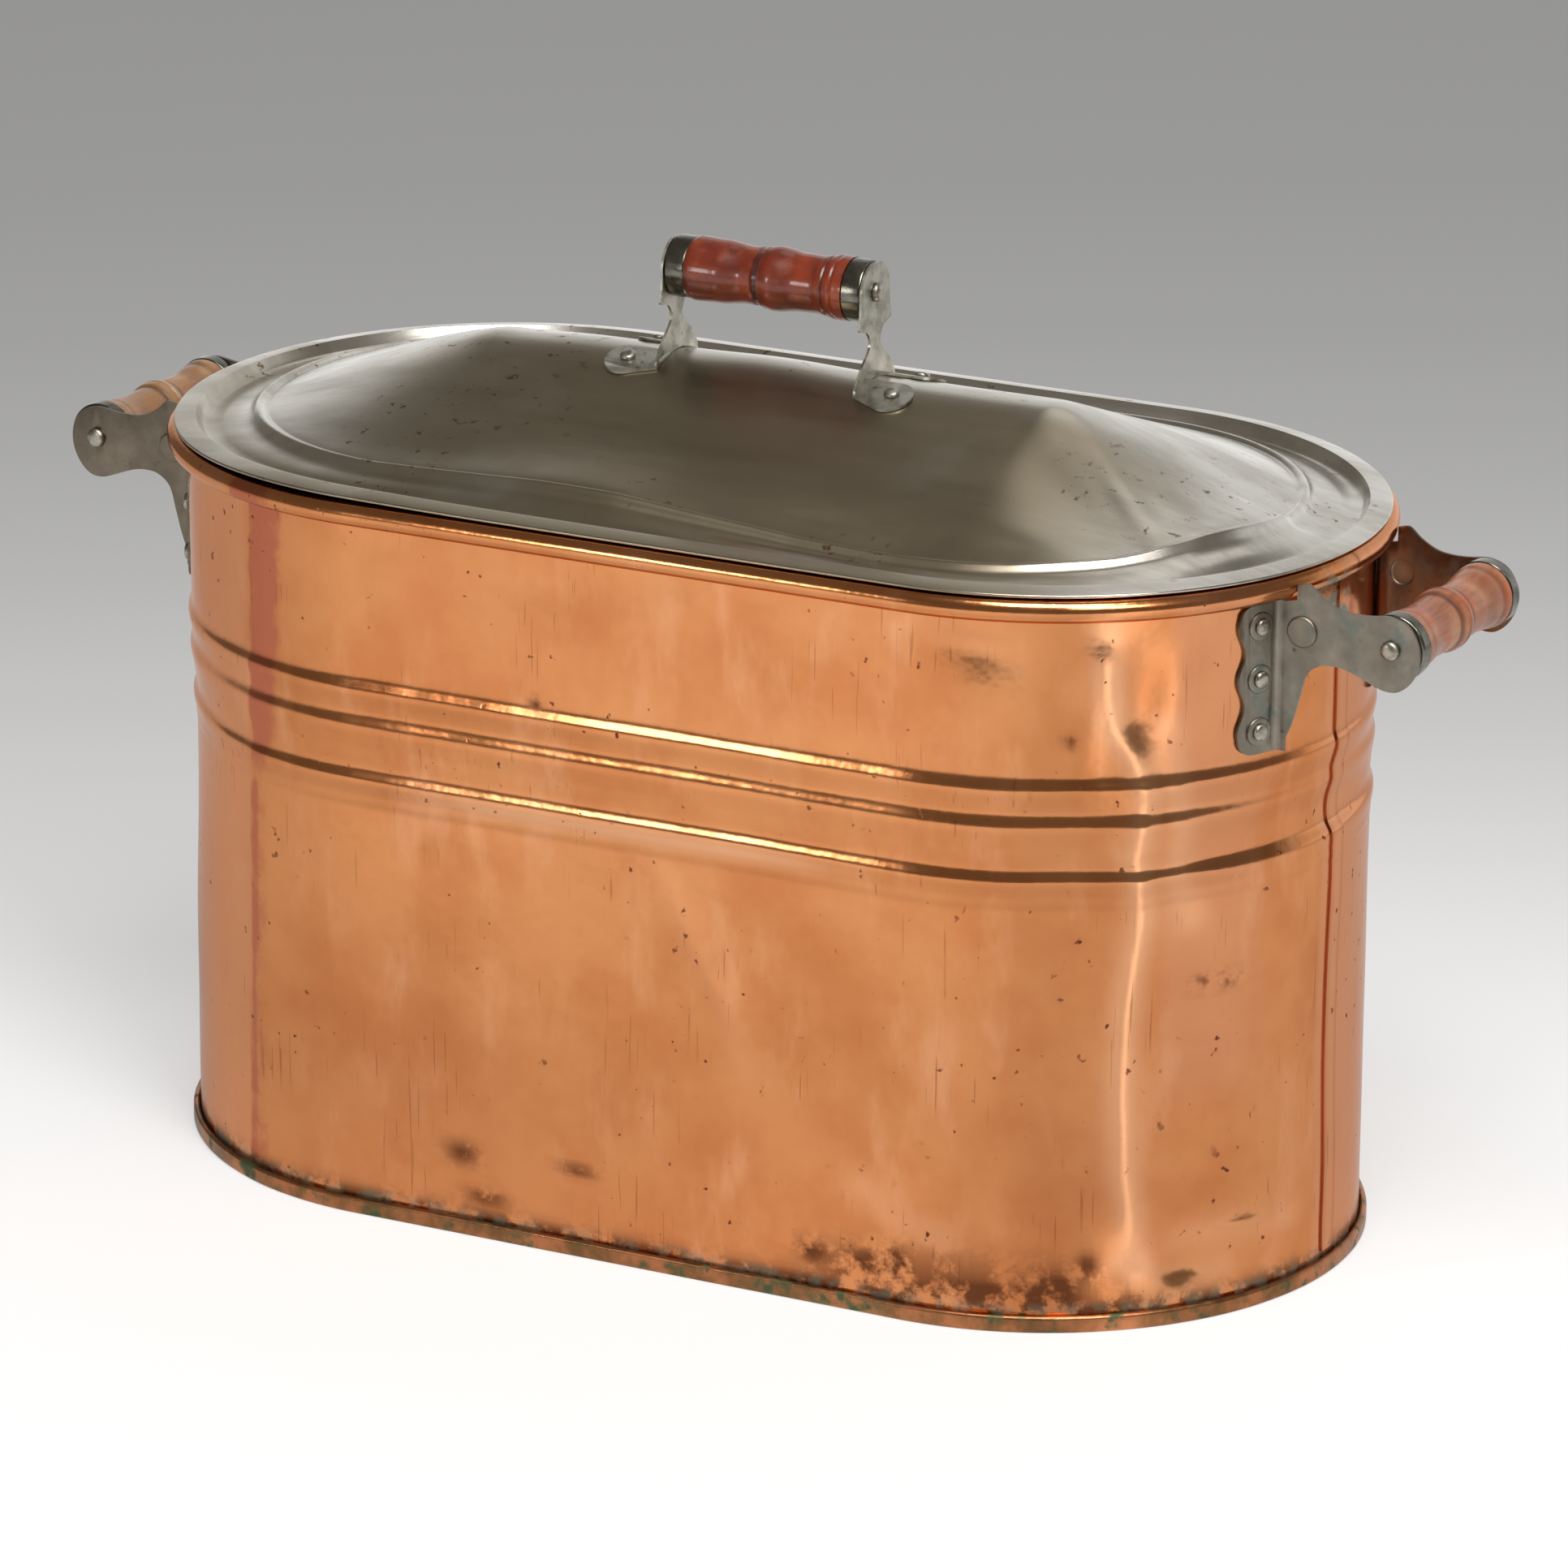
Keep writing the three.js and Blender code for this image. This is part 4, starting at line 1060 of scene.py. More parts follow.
class Finish:
    """One material being mixed: its tree, its place on the object and its shader."""

    def __init__(self, name, **shader):
        self.material = bpy.data.materials.new(name)
        self.material.use_nodes = True
        self.tree = self.material.node_tree
        self.shader = self.tree.nodes["Principled BSDF"]
        self.place = self.add("ShaderNodeTexCoord").outputs["Object"]
        for socket, value in shader.items():
            self.shader.inputs[socket.replace("_", " ")].default_value = value

    def add(self, kind, settings=None, **inputs):
        return node(self.tree, kind, settings, **inputs)

    def stretched(self, x, y, z, turn=(0, 0, 0)):
        made = self.add("ShaderNodeMapping", Vector=self.place, Rotation=turn, Scale=(x, y, z))
        return made.outputs["Vector"]

    def noise(self, size_mm, detail, rough, vector=None):
        """Cloudy noise whose patches are about size_mm across."""
        made = self.add(
            "ShaderNodeTexNoise", Vector=vector or self.place, Scale=1000 / size_mm, Detail=detail,
            Roughness=rough,
        )
        return made.outputs["Fac"]

    def mask(self, value, low, high):
        """0 below low, 1 above high."""
        made = self.add(
            "ShaderNodeMapRange", {"interpolation_type": "SMOOTHSTEP"}, Value=value, i1=low, i2=high
        )
        return made.outputs["Result"]

    def between(self, value, low, high, at_low, at_high):
        """Runs evenly from at_low to at_high as the value goes from low to high."""
        made = self.add("ShaderNodeMapRange", Value=value, i1=low, i2=high, i3=at_low, i4=at_high)
        return made.outputs["Result"]

    def math(self, operation, a, b):
        return worked_out(self.tree, operation, a, b)

    def colour(self, amount, under, over):
        """Lays a colour over another by an amount. Colours are sockets or sRGB hex codes."""
        under, over = (linear(c) if isinstance(c, str) else c for c in (under, over))
        return mixed(self.tree, amount, under, over)

    def layer(self, name):
        """A painted layer on the mesh, 0 to 1."""
        return self.add("ShaderNodeAttribute", {"attribute_name": name}).outputs["Fac"]

    def done(self, colour, roughness, height, depth_mm, metal=None):
        """Links what was mixed to the shader. The height stands out by depth_mm."""
        relief = self.add("ShaderNodeBump", Height=height, Strength=1.0, Distance=depth_mm * MM)
        ends = {"Base Color": colour, "Roughness": roughness, "Normal": relief.outputs["Normal"]}
        if metal is not None:
            ends["Metallic"] = metal
        for socket, value in ends.items():
            self.tree.links.new(value, self.shader.inputs[socket])
        return self.material


def polished_copper():
    """Rolled copper sheet, hand polished long ago: bright orange, clouded, pitted, stained."""
    f = Finish("polished_copper", Metallic=1.0, Specular_Tint=linear("F1DED3"))
    clouds = f.noise(70, 4, 0.6)
    wipes = f.noise(30, 4, 0.6, f.stretched(1, 1, 0.35))
    colour = f.colour(f.mask(clouds, 0.35, 0.7), "DA925E", "CC804E")
    colour = f.colour(f.mask(wipes, 0.5, 0.8), colour, "E5A274")
    colour = f.colour(f.layer("pink"), colour, "DD9C76")
    # A painted highlight: cream laid along the creases and the lowest ledge
    colour = f.colour(f.math("MULTIPLY", f.layer("painted_highlight"), 0.75), colour, "F4B88C")
    heated = f.mask(f.math("ADD", f.layer("heated"), f.noise(13, 4, 0.65)), 0.72, 1.2)
    colour = f.colour(heated, colour, "C27154")
    colour = f.colour(f.layer("seam"), colour, "955638")
    for turn in ((0.5, 0.3, 0.7), (-0.7, 0.2, 0.1)):
        lines = f.stretched(1, 1, 0.03, turn)
        scratch = f.math("MULTIPLY", f.mask(f.noise(1.6, 1, 0.4, lines), 0.7, 0.74), 0.45)
        scratch = f.math("MULTIPLY", scratch, f.mask(f.noise(45, 2, 0.5), 0.5, 0.62))
        colour = f.colour(scratch, colour, "8E5233")
    specks = f.noise(5.5, 2, 0.5)
    where = f.noise(60, 2, 0.5)
    pits = f.math("MULTIPLY", f.mask(specks, 0.68, 0.76), f.mask(where, 0.42, 0.58))
    colour = f.colour(pits, colour, "74402B")
    stain = f.math("MULTIPLY", f.layer("stain"), f.mask(f.noise(14, 5, 0.65), 0.38, 0.55))
    colour = f.colour(stain, colour, "74452B")
    green = f.math("MULTIPLY", f.layer("verdigris"), f.mask(f.noise(9, 4, 0.6), 0.4, 0.56))
    colour = f.colour(green, colour, "6F8E80")
    dull = f.math("MAXIMUM", f.math("MAXIMUM", pits, stain), green)
    rough = f.between(wipes, 0.3, 0.8, 0.16, 0.23)
    rough = f.math("ADD", rough, f.math("MULTIPLY", dull, 0.28))
    metal = f.math("SUBTRACT", 1.0, f.math("MULTIPLY", green, 0.8))
    height = f.math("ADD", f.noise(24, 3, 0.5), f.math("MULTIPLY", f.noise(3, 2, 0.5), 0.05))
    height = f.math("SUBTRACT", height, f.math("MULTIPLY", pits, 0.15))
    return f.done(colour, rough, height, 0.4, metal)


def seam_copper():
    """The same copper at the base seam, darker and greened where the folds hold damp."""
    f = Finish("seam_copper", Metallic=1.0)
    colour = f.colour(f.mask(f.noise(18, 4, 0.6), 0.35, 0.65), "BC7C54", "80603F")
    green = f.mask(f.noise(12, 4, 0.6), 0.52, 0.68)
    colour = f.colour(green, colour, "5E6A4C")
    rough = f.math("ADD", 0.34, f.math("MULTIPLY", green, 0.3))
    return f.done(colour, rough, f.noise(5, 3, 0.6), 0.15)


def tin_plate():
    """Tin-plated steel sheet, hand wiped: a bright mirror, with tarnish and a painted brown shade
    over the front slope.
    """
    f = Finish("tin_plate", Metallic=1.0)
    wipes = f.noise(26, 5, 0.65, f.stretched(0.22, 1, 1))
    clouds = f.noise(80, 3, 0.5)
    colour = f.colour(f.mask(wipes, 0.35, 0.7), "DEDAD1", "BDB8AD")
    # Tarnish with a painted shade: the front slope is darkened to a brown grey
    tarnish_and_shade = f.math("MULTIPLY", f.layer("tarnish_and_shade"), f.mask(clouds, 0.1, 0.45))
    colour = f.colour(tarnish_and_shade, colour, "A39781")
    where = f.mask(f.noise(90, 2, 0.5), 0.48, 0.6)
    rust = f.math("MULTIPLY", f.mask(f.noise(6, 3, 0.6), 0.62, 0.7), where)
    colour = f.colour(rust, colour, "7A604C")
    rough = f.between(wipes, 0.3, 0.75, 0.2, 0.3)
    rough = f.math("ADD", rough, f.math("MULTIPLY", f.math("MAXIMUM", rust, tarnish_and_shade), 0.07))
    height = f.math("ADD", f.noise(30, 3, 0.5), f.math("MULTIPLY", f.noise(2.5, 2, 0.5), 0.05))
    return f.done(colour, rough, height, 0.15)


def bracket_tin():
    """The bracket's heavier tin plate: paler, slightly yellow grey, with small darker patches."""
    f = Finish("bracket_tin", Metallic=1.0)
    colour = f.colour(f.mask(f.noise(8, 4, 0.6), 0.4, 0.65), "B7B4A8", "97958A")
    colour = f.colour(f.mask(f.noise(4, 3, 0.6), 0.62, 0.72), colour, "7E776A")
    return f.done(colour, f.mask(f.noise(10, 3, 0.5), -0.6, 1.9), f.noise(2.2, 3, 0.6), 0.05)


def aged_steel(name, plate, shade, touch, amount):
    """Pressed steel plate under old patina, each ear weathered its own way."""
    f = Finish(name, Metallic=1.0)
    colour = f.colour(f.mask(f.noise(22, 4, 0.6), 0.3, 0.7), plate, shade)
    low = 0.6 - 0.3 * amount
    colour = f.colour(f.mask(f.noise(15, 4, 0.65), low, low + 0.25), colour, touch)
    colour = f.colour(f.math("MULTIPLY", f.layer("dimple"), amount), colour, "A0937F")
    colour = f.colour(f.mask(f.noise(6, 3, 0.6), 0.66, 0.78), colour, "5E4A3C")
    rough = f.between(f.noise(9, 3, 0.6), 0.3, 0.7, 0.34, 0.5)
    return f.done(colour, rough, f.noise(2.4, 4, 0.6), 0.1)


def dark_cup_steel():
    """Spun steel cups, darker and smoother than the ears."""
    f = Finish("dark_cup_steel", Metallic=1.0)
    colour = f.colour(f.mask(f.noise(8, 4, 0.6), 0.4, 0.7), "7D7B72", "55534B")
    return f.done(colour, f.mask(f.noise(6, 3, 0.5), -0.6, 3.0), f.noise(2.5, 3, 0.6), 0.05)


def rivet_steel():
    """Drawn steel wire with hammered heads."""
    f = Finish("rivet_steel", Metallic=1.0)
    colour = f.colour(f.mask(f.noise(3, 3, 0.6), 0.4, 0.65), "B4AFA2", "8F897C")
    return f.done(colour, f.mask(f.noise(4, 2, 0.5), -0.6, 2.0), f.noise(2, 3, 0.6), 0.12)


def rim_iron():
    """Bare iron wire inside the rolled rim."""
    f = Finish("rim_iron", Metallic=1.0)
    colour = f.colour(f.mask(f.noise(5, 3, 0.6), 0.4, 0.6), "5A534B", "6B4A38")
    return f.done(colour, f.mask(f.noise(4, 3, 0.5), -1.0, 1.0), f.noise(2, 2, 0.5), 0.05)


def turned_wood(name, colours, grain_axis, sheen, patched):
    """Turned hardwood, stained and handled: grain along the grip, darker in its grooves."""
    light, mid, dark, patch = colours
    f = Finish(name, Metallic=0.0, Coat_Weight=sheen, Coat_Roughness=0.1)
    scale = [1.0, 1.0, 1.0]
    scale[grain_axis] = 0.08
    grain = f.noise(3, 5, 0.7, f.stretched(*scale))
    colour = f.colour(f.math("MULTIPLY", f.mask(grain, 0.4, 0.8), 0.7), mid, dark)
    colour = f.colour(f.mask(f.noise(26, 3, 0.55), 0.42, 0.68), colour, light)
    rub = f.math("MULTIPLY", f.mask(f.noise(12, 4, 0.6), 0.5, 0.66), patched)
    colour = f.colour(rub, colour, patch)
    colour = f.colour(f.math("MULTIPLY", f.layer("groove"), 0.85), colour, dark)
    rough = f.between(grain, 0.3, 0.7, 0.3, 0.44)
    return f.done(colour, f.math("ADD", rough, f.math("MULTIPLY", rub, 0.15)), grain, 0.05)


# Each grip's wood: its light, middle, dark and worn colours, the axis of its grain, its sheen and
# how much of it is worn
WOODS = {
    "lid": (("8C3413", "70240D", "34110A", "A24C1A"), 0, 0.5, 0.35),
    "left": (("AC845C", "956B46", "5E4028", "A26A3E"), 1, 0.15, 0.5),
    "right": (("B27A52", "9A5C3A", "5A3020", "B5562A"), 1, 0.15, 0.6),
}


# Layers painted on the meshes

def paint(piece, name, values):
    layer = piece.data.attributes.new(name, "FLOAT", "POINT")
    layer.data.foreach_set("value", np.clip(values, 0, 1).astype(np.float32))


# Each stain: place along the wall, height, half width and half height
STAINS = [
    (-83.5, 38.7, 9, 6), (-71, 19.2, 11, 4), (121, 21, 14, 7), (283.5, 158.6, 13, 4),
    (213, 276.3, 3, 3), (-44.3, 260.4, 3, 3), (94.7, 24, 7, 6), (135, 24, 7, 8),
    (173.7, 13.7, 16, 6), (210, 19.3, 10, 8), (224.3, 30.6, 5, 6), (-24, 41, 10, 3),
]


# The heat streak by the left end: height, and where its two edges lie along the wall
STREAK = [(25, -205, -190), (181, -200.6, -189.6), (223, -201, -183), (323, -201, -178)]
# How bright a highlight is painted along each crease, in their order
CREASE_HIGHLIGHTS = (0.9, 0.6, 0.5, 0.4, 0.2, 0.4, 0.2)
# The edges of the two lapped seams, as places along the wall
SEAM_EDGES = [
    end * HALF_STRAIGHT + END_RADIUS * math.radians(end * 90 + HANDLE_TURN) + side * LAP_WIDTH / 2
    for end in (1, -1)
    for side in (-1, 1)
]


def paint_body(piece):
    """Where the copper is heated, pinkish, dark at a seam, stained or green, and where a highlight
    is painted along the creases and the lowest ledge.
    """
    points = corners(piece)
    along, _, _ = on_plan(points)
    z = points[:, 2]
    heights, lefts, rights = zip(*STREAK)
    left, right = np.interp(z, heights, lefts), np.interp(z, heights, rights)
    streak = step(along, left - 3, left + 3) * (1 - step(along, right - 7, right + 7))
    upper = step(z, 185, 225)
    edge = bump(along - left, 3) * (1 - step(z, 190, 205))
    scratch = step(along, 183, 186) * (1 - step(along, 224, 228)) * bump(z - 103, 1.4)
    rust = bump(along - 370, 5) * bump(z - 314, 14)
    heated = streak * (0.36 + 0.4 * upper) + 0.6 * edge + 0.5 * scratch + 0.8 * rust
    past_streak = 1 - step(along, left - 6, left)
    past_seam = step(along, 348, 352)
    beside_crease = step(along, 254, 262) * (1 - step(along, 290, 320)) * step(z, 90, 120)
    # A painted highlight along each crease
    painted_highlight = sum(
        bump(line_distance(along, z, line)[0], 8) * share
        for (line, _, _), share in zip(CREASES, CREASE_HIGHLIGHTS)
    )
    # A painted highlight along the lowest ledge
    lowest_ledge_highlight = bump(z - 207, 4) * step(along, -120, -60) * (1 - step(along, 60, 130))
    low = 1 - step(z, 6, 20)
    worst = bump(along - 165, 60) * (1 - step(z, 14, 46))
    blots = sum(bump(along - a, w) * bump(z - b, h) for a, b, w, h in STAINS)
    drip, _ = line_distance(along, z, [(340, 333), (362, 316)])
    seam_line = bump(z - 8, 3)
    layers = {
        "heated": heated,
        "pink": 0.55 * past_streak + 0.7 * past_seam + 0.4 * beside_crease,
        "painted_highlight": painted_highlight + lowest_ledge_highlight,
        "seam": 0.4 * sum(bump(along - place, 0.9) for place in SEAM_EDGES),
        "stain": low * 0.55 + worst * 0.9 + blots + 0.7 * seam_line,
        "verdigris": 1.2 * bump(drip, 7) + 0.5 * seam_line,
    }
    for name, values in layers.items():
        paint(piece, name, values)


def paint_lid(piece):
    """The front slope gets tarnish and a painted shade, and its two ends are left bright."""
    points = corners(piece)
    x, y = points[:, 0], points[:, 1]
    # Tarnish and painted shade over the front slope, and half as much on part of the flange
    front = step(-y, -6, 22)
    middle = step(x, -225, -110) * (1 - step(x, 150, 255))
    along, _, distance = on_plan(points)
    flange = step(distance, 120, 128) * (1 - step(along, -60, 120)) * (y < 60)
    paint(piece, "tarnish_and_shade", front * middle + 0.5 * flange)


def paint_grooves(piece, outline, shoulder, axis, centre):
    """Darkens what lies below the grip's general outline."""
    points = corners(piece)
    direction = np.array(axis[:])
    place = (points - np.array(centre[:])) @ direction
    flat = points - np.array(centre[:]) - np.outer(place, direction)
    radius = np.linalg.norm(flat, axis=1)
    shares = np.array([share for share, _ in outline])
    radii = np.array([r for _, r in outline])
    here = np.clip(place / shoulder, -1, 1)
    around = np.maximum.reduce([np.interp(here + d, shares, radii) for d in (-0.06, 0, 0.06)])
    paint(piece, "groove", np.clip((around - radius) / 1.2, 0, 1))


# Dressing the object

def settle(piece, body, slot, material, *nodes):
    piece.data.materials.clear()
    piece.data.materials.append(material)
    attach(piece, body)
    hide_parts(*nodes)
    return piece


def dress_body(copper, seam):
    back, front = make_body()
    for piece, cad_node in ((back, "body_back_sheet"), (front, "body_front_sheet")):
        paint_body(piece)
        settle(piece, "basin", "copper", copper, cad_node)
    settle(make_pan(), "basin", "copper", seam, "bottom_pan")


def dress_side_handles(steels, cups, rivets, woods):
    half = EAR_HALF_SPAN - EAR_SHEET / 2 - GAP
    shoulder = half - SIDE_CUP["length"] - GAP
    for end, label in ((-1, "left"), (1, "right")):
        rod = carried(make_rod(label + "_handle_rod", EAR_HALF_SPAN, EAR_SHEET), rod_frame())
        rod = at_end(rod, end)
        settle(rod, "basin", "dark_steel", rivets, label + "_rod")
        grip = carried(make_grip(label + "_handle_grip", half, SIDE_CUP, SIDE_GRIP), rod_frame())
        grip = at_end(grip, end)
        centre = rod_frame().translation
        if end < 0:
            centre = HALF_TURN @ centre
        paint_grooves(grip, SIDE_GRIP, shoulder, ACROSS, centre)
        settle(grip, label + "_grip", "grip_wood", woods[label], label + "_grip")
        for side in (-1, 1):
            row = "front" if side * end < 0 else "back"
            cup = make_cup(f"{label}_handle_cup_{row}", half, end=side, **SIDE_CUP)
            cup = at_end(carried(cup, rod_frame()), end)
            settle(cup, label + "_grip", "dark_steel", cups, f"{label}_cup_{row}")
            ear = make_ear(f"{label}_handle_ear_{row}", end, side)
            settle(ear, "basin", "dark_steel", steels[label, row], f"{label}_ear_{row}")
            for i, drop in enumerate(rivet_drops(), 1):
                stack = EAR_SHEET + GAP + COPPER
                rivet = make_rivet(
                    f"{label}_handle_rivet_{row}_{i}", EAR_RIVET_HEAD, stack, EMBOSS_HEIGHT
                )
                place = wall_frame(rivet_angle(side), RIM_HEIGHT - drop, GAP + EAR_SHEET)
                rivet = at_end(carried(rivet, place), end)
                settle(rivet, "basin", "dark_steel", rivets, f"{label}_rivet_{row}_{i}")


def dress_lid(tin, bracket, cups, rivets, wood):
    sheet = make_lid()
    paint_lid(sheet)
    settle(sheet, "lid", "tinned_steel", tin, "lid")
    half = BRACKET_HALF_SPAN - BRACKET_SHEET / 2 - GAP
    place = lid_rod_frame()
    rod = carried(make_rod("lid_handle_rod", BRACKET_HALF_SPAN, BRACKET_SHEET), place)
    settle(rod, "lid", "dark_steel", rivets, "lid_rod")
    grip = carried(make_grip("lid_handle_grip", half, LID_CUP, LID_GRIP), place)
    shoulder = half - LID_CUP["length"] - GAP
    paint_grooves(grip, LID_GRIP, shoulder, Vector((1, 0, 0)), place.translation)
    settle(grip, "lid_grip", "grip_wood", wood, "lid_grip")
    for end, label in ((-1, "left"), (1, "right")):
        cup = carried(make_cup(f"lid_handle_cup_{label}", half, end=end, **LID_CUP), place)
        settle(cup, "lid_grip", "dark_steel", cups, f"lid_cup_{label}")
        made = make_bracket(f"lid_handle_bracket_{label}", end)
        settle(made, "lid", "tinned_steel", bracket, f"lid_bracket_{label}")
        for side, row in ((-1, "front"), (1, "back")):
            stack = BRACKET_SHEET + GAP + LID_SHEET
            rivet = make_rivet(f"lid_handle_rivet_{label}_{row}", LID_RIVET_HEAD, stack)
            lifted = lid_rivet_frame(end, side)
            lifted.translation += lifted.col[2].to_3d() * (LID_SHEET / 2 + GAP + BRACKET_SHEET)
            settle(carried(rivet, lifted), "lid", "dark_steel", rivets, f"lid_rivet_{label}_{row}")


# Camera, floor and lights

CAMERA_TURN = 26.6
CAMERA_RISE = 18.91
CAMERA_ROLL = 0.26
CAMERA_DISTANCE = 3824.25
CAMERA_TARGET = Vector((5.77, 0, 185.8))
SENSOR_MM = 36
LENS_MM = 190.206


def add_camera():
    turn, rise, roll = (math.radians(a) for a in (CAMERA_TURN, CAMERA_RISE, CAMERA_ROLL))
    level = Vector((math.sin(turn), -math.cos(turn), 0))
    back = level * math.cos(rise) + UP * math.sin(rise)
    right = (-back).cross(UP).normalized()
    up = right.cross(-back)
    leaned_right = right * math.cos(roll) + up * math.sin(roll)
    leaned_up = up * math.cos(roll) - right * math.sin(roll)
    put_down_all()
    bpy.ops.object.camera_add()
    camera = bpy.context.object
    camera.name = "camera"
    camera.data.sensor_width = SENSOR_MM
    camera.data.lens = LENS_MM
    camera.data.clip_end = 100
    origin = (CAMERA_TARGET + back * CAMERA_DISTANCE) * MM
    camera.matrix_world = frame_of(origin, leaned_right, leaned_up, back)
    bpy.context.scene.camera = camera


# The floor's paper: how far behind the object, in metres, and its shade there
PAPER = [
    (-0.33, "FFFFFF"), (-0.1, "FFFFFF"), (0.06, "FAFAFA"), (0.24, "F0F0F0"), (0.43, "E2E2E2"),
    (0.645, "D2D2D2"), (0.88, "C4C4C4"), (1.135, "B9B9B9"), (1.42, "B1B1B1"), (1.845, "ACACAC"),
]
# The room that the metal mirrors over the floor: degrees right of the front, and how bright
ROOM_ROUND = [
    (-180, 0.8), (-95, 0.74), (-76, 0.62), (-62, 0.66), (-50, 0.78), (-40, 0.97), (-28, 1.0),
    (-12, 0.9), (2, 0.85), (14, 0.78), (25, 0.62), (36, 0.5), (44, 1.0), (48, 1.6), (57, 1.7),
    (63, 1.0), (75, 0.72), (100, 0.7), (180, 0.85),
]
ROOM_MIDDLE = (0.17, -0.07, 0)
# How much the basin's own shade takes from it: metres from the basin, and how bright
ROOM_NEAR = [
    (0, 0.95), (0.21, 0.95), (0.28, 0.84), (0.42, 0.72), (0.56, 0.84), (0.75, 1.05), (1.4, 1.25),
]
# Where the paper ends for the metal: its middle behind the object and its half depth, in metres
PAPER_MIDDLE = 0.175
PAPER_HALF = 2.375
TURN = math.radians(CAMERA_TURN)
AWAY = (-math.sin(TURN), math.cos(TURN), 0)
BACK_WALL = (0.1, 0.995, 0)

# Each softbox: name, place, what it faces, size and power
SOFTBOXES = [
    ("overhead_softbox", (0.7, -1.1, 3.0), (0, 0, 0.2), (1.4, 1.4), 62),
    ("key_softbox", (2.0, -1.7, 2.7), (0.1, 0, 0.2), (1.2, 1.2), 40),
    ("back_softbox", (-0.1, 1.6, 2.7), (0, 0, 0.4), (1.4, 1.4), 4.5),
    ("strip_softbox", (-0.415, -1.008, 0.55), (0.015, -0.148, 0.213), (0.12, 0.24), 1.1),
]


def ramp_of(tree, value, shades):
    """A colour by a value: shades is (value, colour), from the lowest value to the highest."""
    low, high = shades[0][0], shades[-1][0]
    share = node(tree, "ShaderNodeMapRange", Value=value, i1=low, i2=high).outputs["Result"]
    ramp = node(tree, "ShaderNodeValToRGB", Fac=share)
    stops = ramp.color_ramp.elements
    stops[0].color, stops[1].color = shades[0][1], shades[-1][1]
    for place, shade in shades[1:-1]:
        stops.new((place - low) / (high - low)).color = shade
    return ramp.outputs["Color"]


def grey(value):
    return (value, value, value, 1.0)


def brown(value):
    return (value * 1.1, value, value * 0.85, 1.0)


def of_vectors(tree, operation, a, b=(0, 0, 0)):
    return node(tree, "ShaderNodeVectorMath", {"operation": operation}, i0=a, i1=b).outputs


def mirrored_room(tree, place):
    """What the metal mirrors of the floor: lighter and darker sides, and the basin's own shade."""
    across = of_vectors(tree, "SUBTRACT", place, ROOM_MIDDLE)["Vector"]
    sides = node(tree, "ShaderNodeSeparateXYZ", Vector=across).outputs
    front = worked_out(tree, "MULTIPLY", sides["Y"], -1.0)
    bearing = worked_out(tree, "DEGREES", worked_out(tree, "ARCTAN2", sides["X"], front))
    reach = of_vectors(tree, "LENGTH", place)["Value"]
    room, near = (
        ramp_of(tree, value, [(at, grey(level)) for at, level in levels])
        for value, levels in ((bearing, ROOM_ROUND), (reach, ROOM_NEAR))
    )
    return mixed(tree, 1.0, room, near, "MULTIPLY")


def studio_floor():
    """A sweep of pale paper: white in front, greyer with distance behind the object."""
    put_down_all()
    bpy.ops.mesh.primitive_plane_add(size=60)
    floor = bpy.context.object
    floor.name = "studio_floor"
    material = bpy.data.materials.new("studio_paper")
    material.use_nodes = True
    tree = material.node_tree
    shader = tree.nodes["Principled BSDF"]
    shader.inputs["Roughness"].default_value = 0.9
    shader.inputs["Specular IOR Level"].default_value = 0.0
    place = node(tree, "ShaderNodeTexCoord").outputs["Object"]
    depth = of_vectors(tree, "DOT_PRODUCT", place, AWAY)["Value"]
    paper = ramp_of(tree, depth, [(at, linear(code)) for at, code in PAPER])
    tree.links.new(paper, shader.inputs["Base Color"])
    rays = node(tree, "ShaderNodeLightPath").outputs
    mirrored = worked_out(tree, "MAXIMUM", rays["Is Glossy Ray"], rays["Is Transmission Ray"])
    seen = worked_out(tree, "MAXIMUM", mirrored, rays["Is Camera Ray"])
    half = worked_out(tree, "MULTIPLY", seen, 0.5)
    colour = mixed(tree, mirrored, paper, mirrored_room(tree, place))
    glow = node(tree, "ShaderNodeEmission", Color=colour, Strength=1.0).outputs[0]
    lit = node(tree, "ShaderNodeMixShader", i0=half, i1=shader.outputs[0], i2=glow).outputs[0]
    # The paper ends a little in front of the object, so what mirrors the front sees the dark room
    far = worked_out(tree, "ABSOLUTE", worked_out(tree, "SUBTRACT", depth, PAPER_MIDDLE))
    past = worked_out(tree, "GREATER_THAN", far, PAPER_HALF)
    gone = worked_out(tree, "MULTIPLY", past, mirrored)
    clear = node(tree, "ShaderNodeBsdfTransparent").outputs[0]
    out = node(tree, "ShaderNodeMixShader", i0=gone, i1=lit, i2=clear).outputs[0]
    tree.links.new(out, tree.nodes["Material Output"].inputs["Surface"])
    floor.data.materials.append(material)


def softbox(name, place, target, size, power):
    put_down_all()
    bpy.ops.object.light_add(type="AREA")
    lamp = bpy.context.object
    lamp.name = name
    lamp.data.shape = "RECTANGLE"
    lamp.data.size, lamp.data.size_y = size
    lamp.data.energy = power
    aim = (Vector(place) - Vector(target)).normalized()
    side = UP.cross(aim).normalized()
    lamp.matrix_world = frame_of(place, side, aim.cross(side), aim)


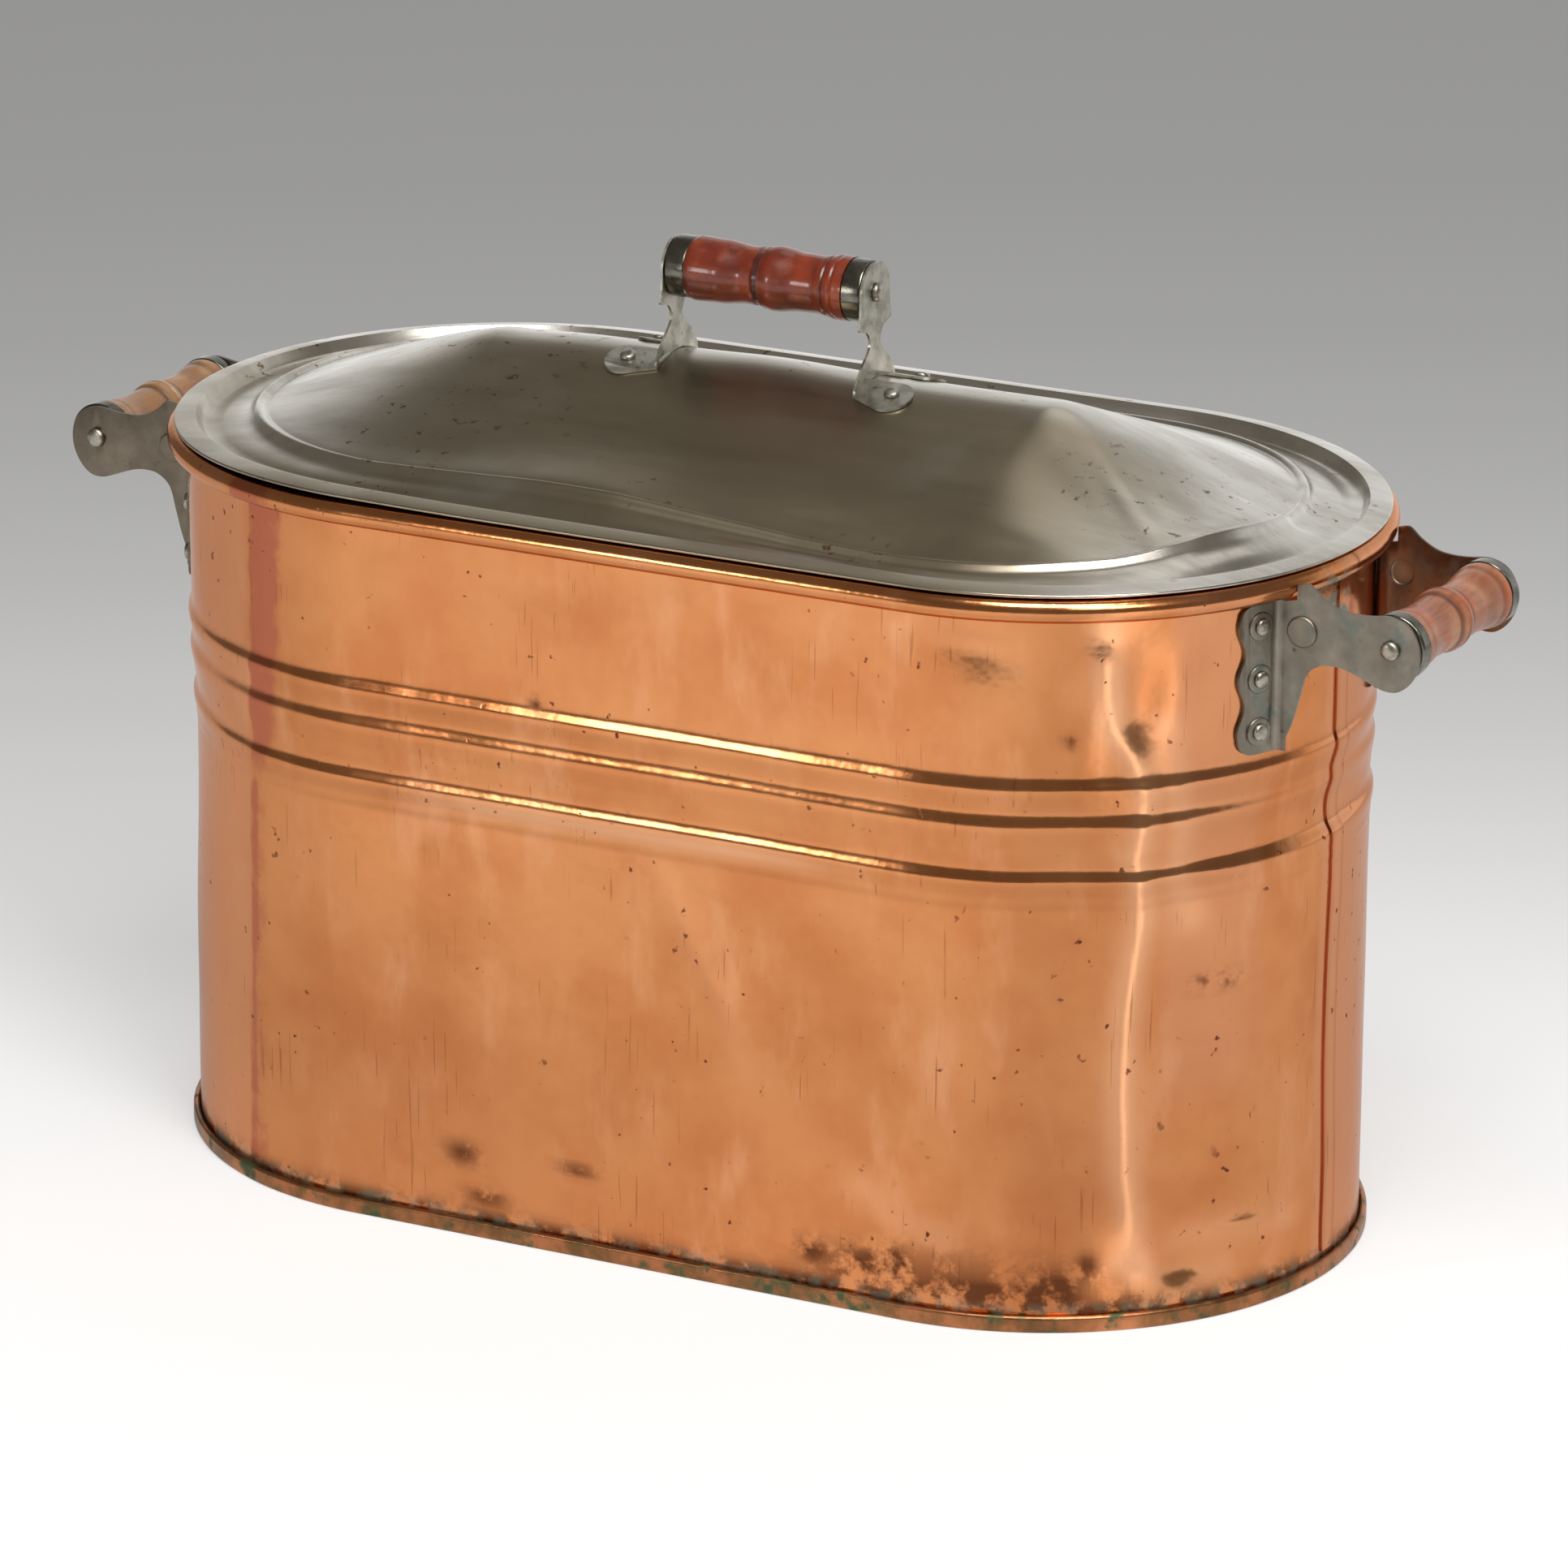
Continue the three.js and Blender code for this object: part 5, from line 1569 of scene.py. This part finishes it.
def studio_light():
    """A bright wall behind the paper, a dark brown room in front and above, and softboxes."""
    world = bpy.data.worlds.new("studio")
    bpy.context.scene.world = world
    world.use_nodes = True
    tree = world.node_tree
    place = node(tree, "ShaderNodeTexCoord").outputs["Generated"]
    height = node(tree, "ShaderNodeSeparateXYZ", Vector=place).outputs["Z"]
    behind = of_vectors(tree, "DOT_PRODUCT", place, BACK_WALL)["Value"]
    smooth_step = {"interpolation_type": "SMOOTHSTEP"}
    share = node(tree, "ShaderNodeMapRange", smooth_step, Value=behind, i1=0.45, i2=0.72)
    wall = ramp_of(tree, height, [
        (-1, grey(0.7)), (-0.3, grey(1.0)), (0.04, grey(1.0)), (0.2, grey(0.85)),
        (0.46, grey(0.72)), (0.55, grey(0.76)), (0.65, brown(0.16)), (1, brown(0.12)),
    ])
    room = ramp_of(tree, height, [
        (-1, grey(0.5)), (-0.22, grey(0.5)), (-0.14, brown(0.17)), (1, brown(0.13)),
    ])
    around = mixed(tree, share.outputs["Result"], room, wall)
    camera = node(tree, "ShaderNodeLightPath").outputs["Is Camera Ray"]
    ground = tree.nodes["Background"]
    tree.links.new(mixed(tree, camera, around, grey(0.35)), ground.inputs["Color"])
    ground.inputs["Strength"].default_value = 1.0
    for box in SOFTBOXES:
        softbox(*box)


def main():
    copper, seam = polished_copper(), seam_copper()
    tin, bracket = tin_plate(), bracket_tin()
    cups, rivets = dark_cup_steel(), rivet_steel()
    smooth_steel = aged_steel("brown_grey_steel", "8A8071", "756C5E", "6E6254", 0.2)
    steels = {
        ("left", "front"): smooth_steel,
        ("left", "back"): smooth_steel,
        ("right", "front"): aged_steel("green_grey_steel", "968E81", "7F786D", "6F7C74", 0.3),
        ("right", "back"): aged_steel("rusted_steel", "8A7666", "6C5646", "785038", 0.8),
    }
    woods = {name: turned_wood(name + "_grip_wood", *finish) for name, finish in WOODS.items()}
    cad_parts["rim_wire"].data.materials[0] = rim_iron()
    dress_body(copper, seam)
    dress_side_handles(steels, cups, rivets, woods)
    dress_lid(tin, bracket, cups, rivets, woods["lid"])
    add_camera()
    studio_floor()
    studio_light()
    bpy.context.scene.view_settings.view_transform = "Standard"
    put_down_all()


def plain(box):
    return [[float(v) for v in corner] for corner in box]


main()
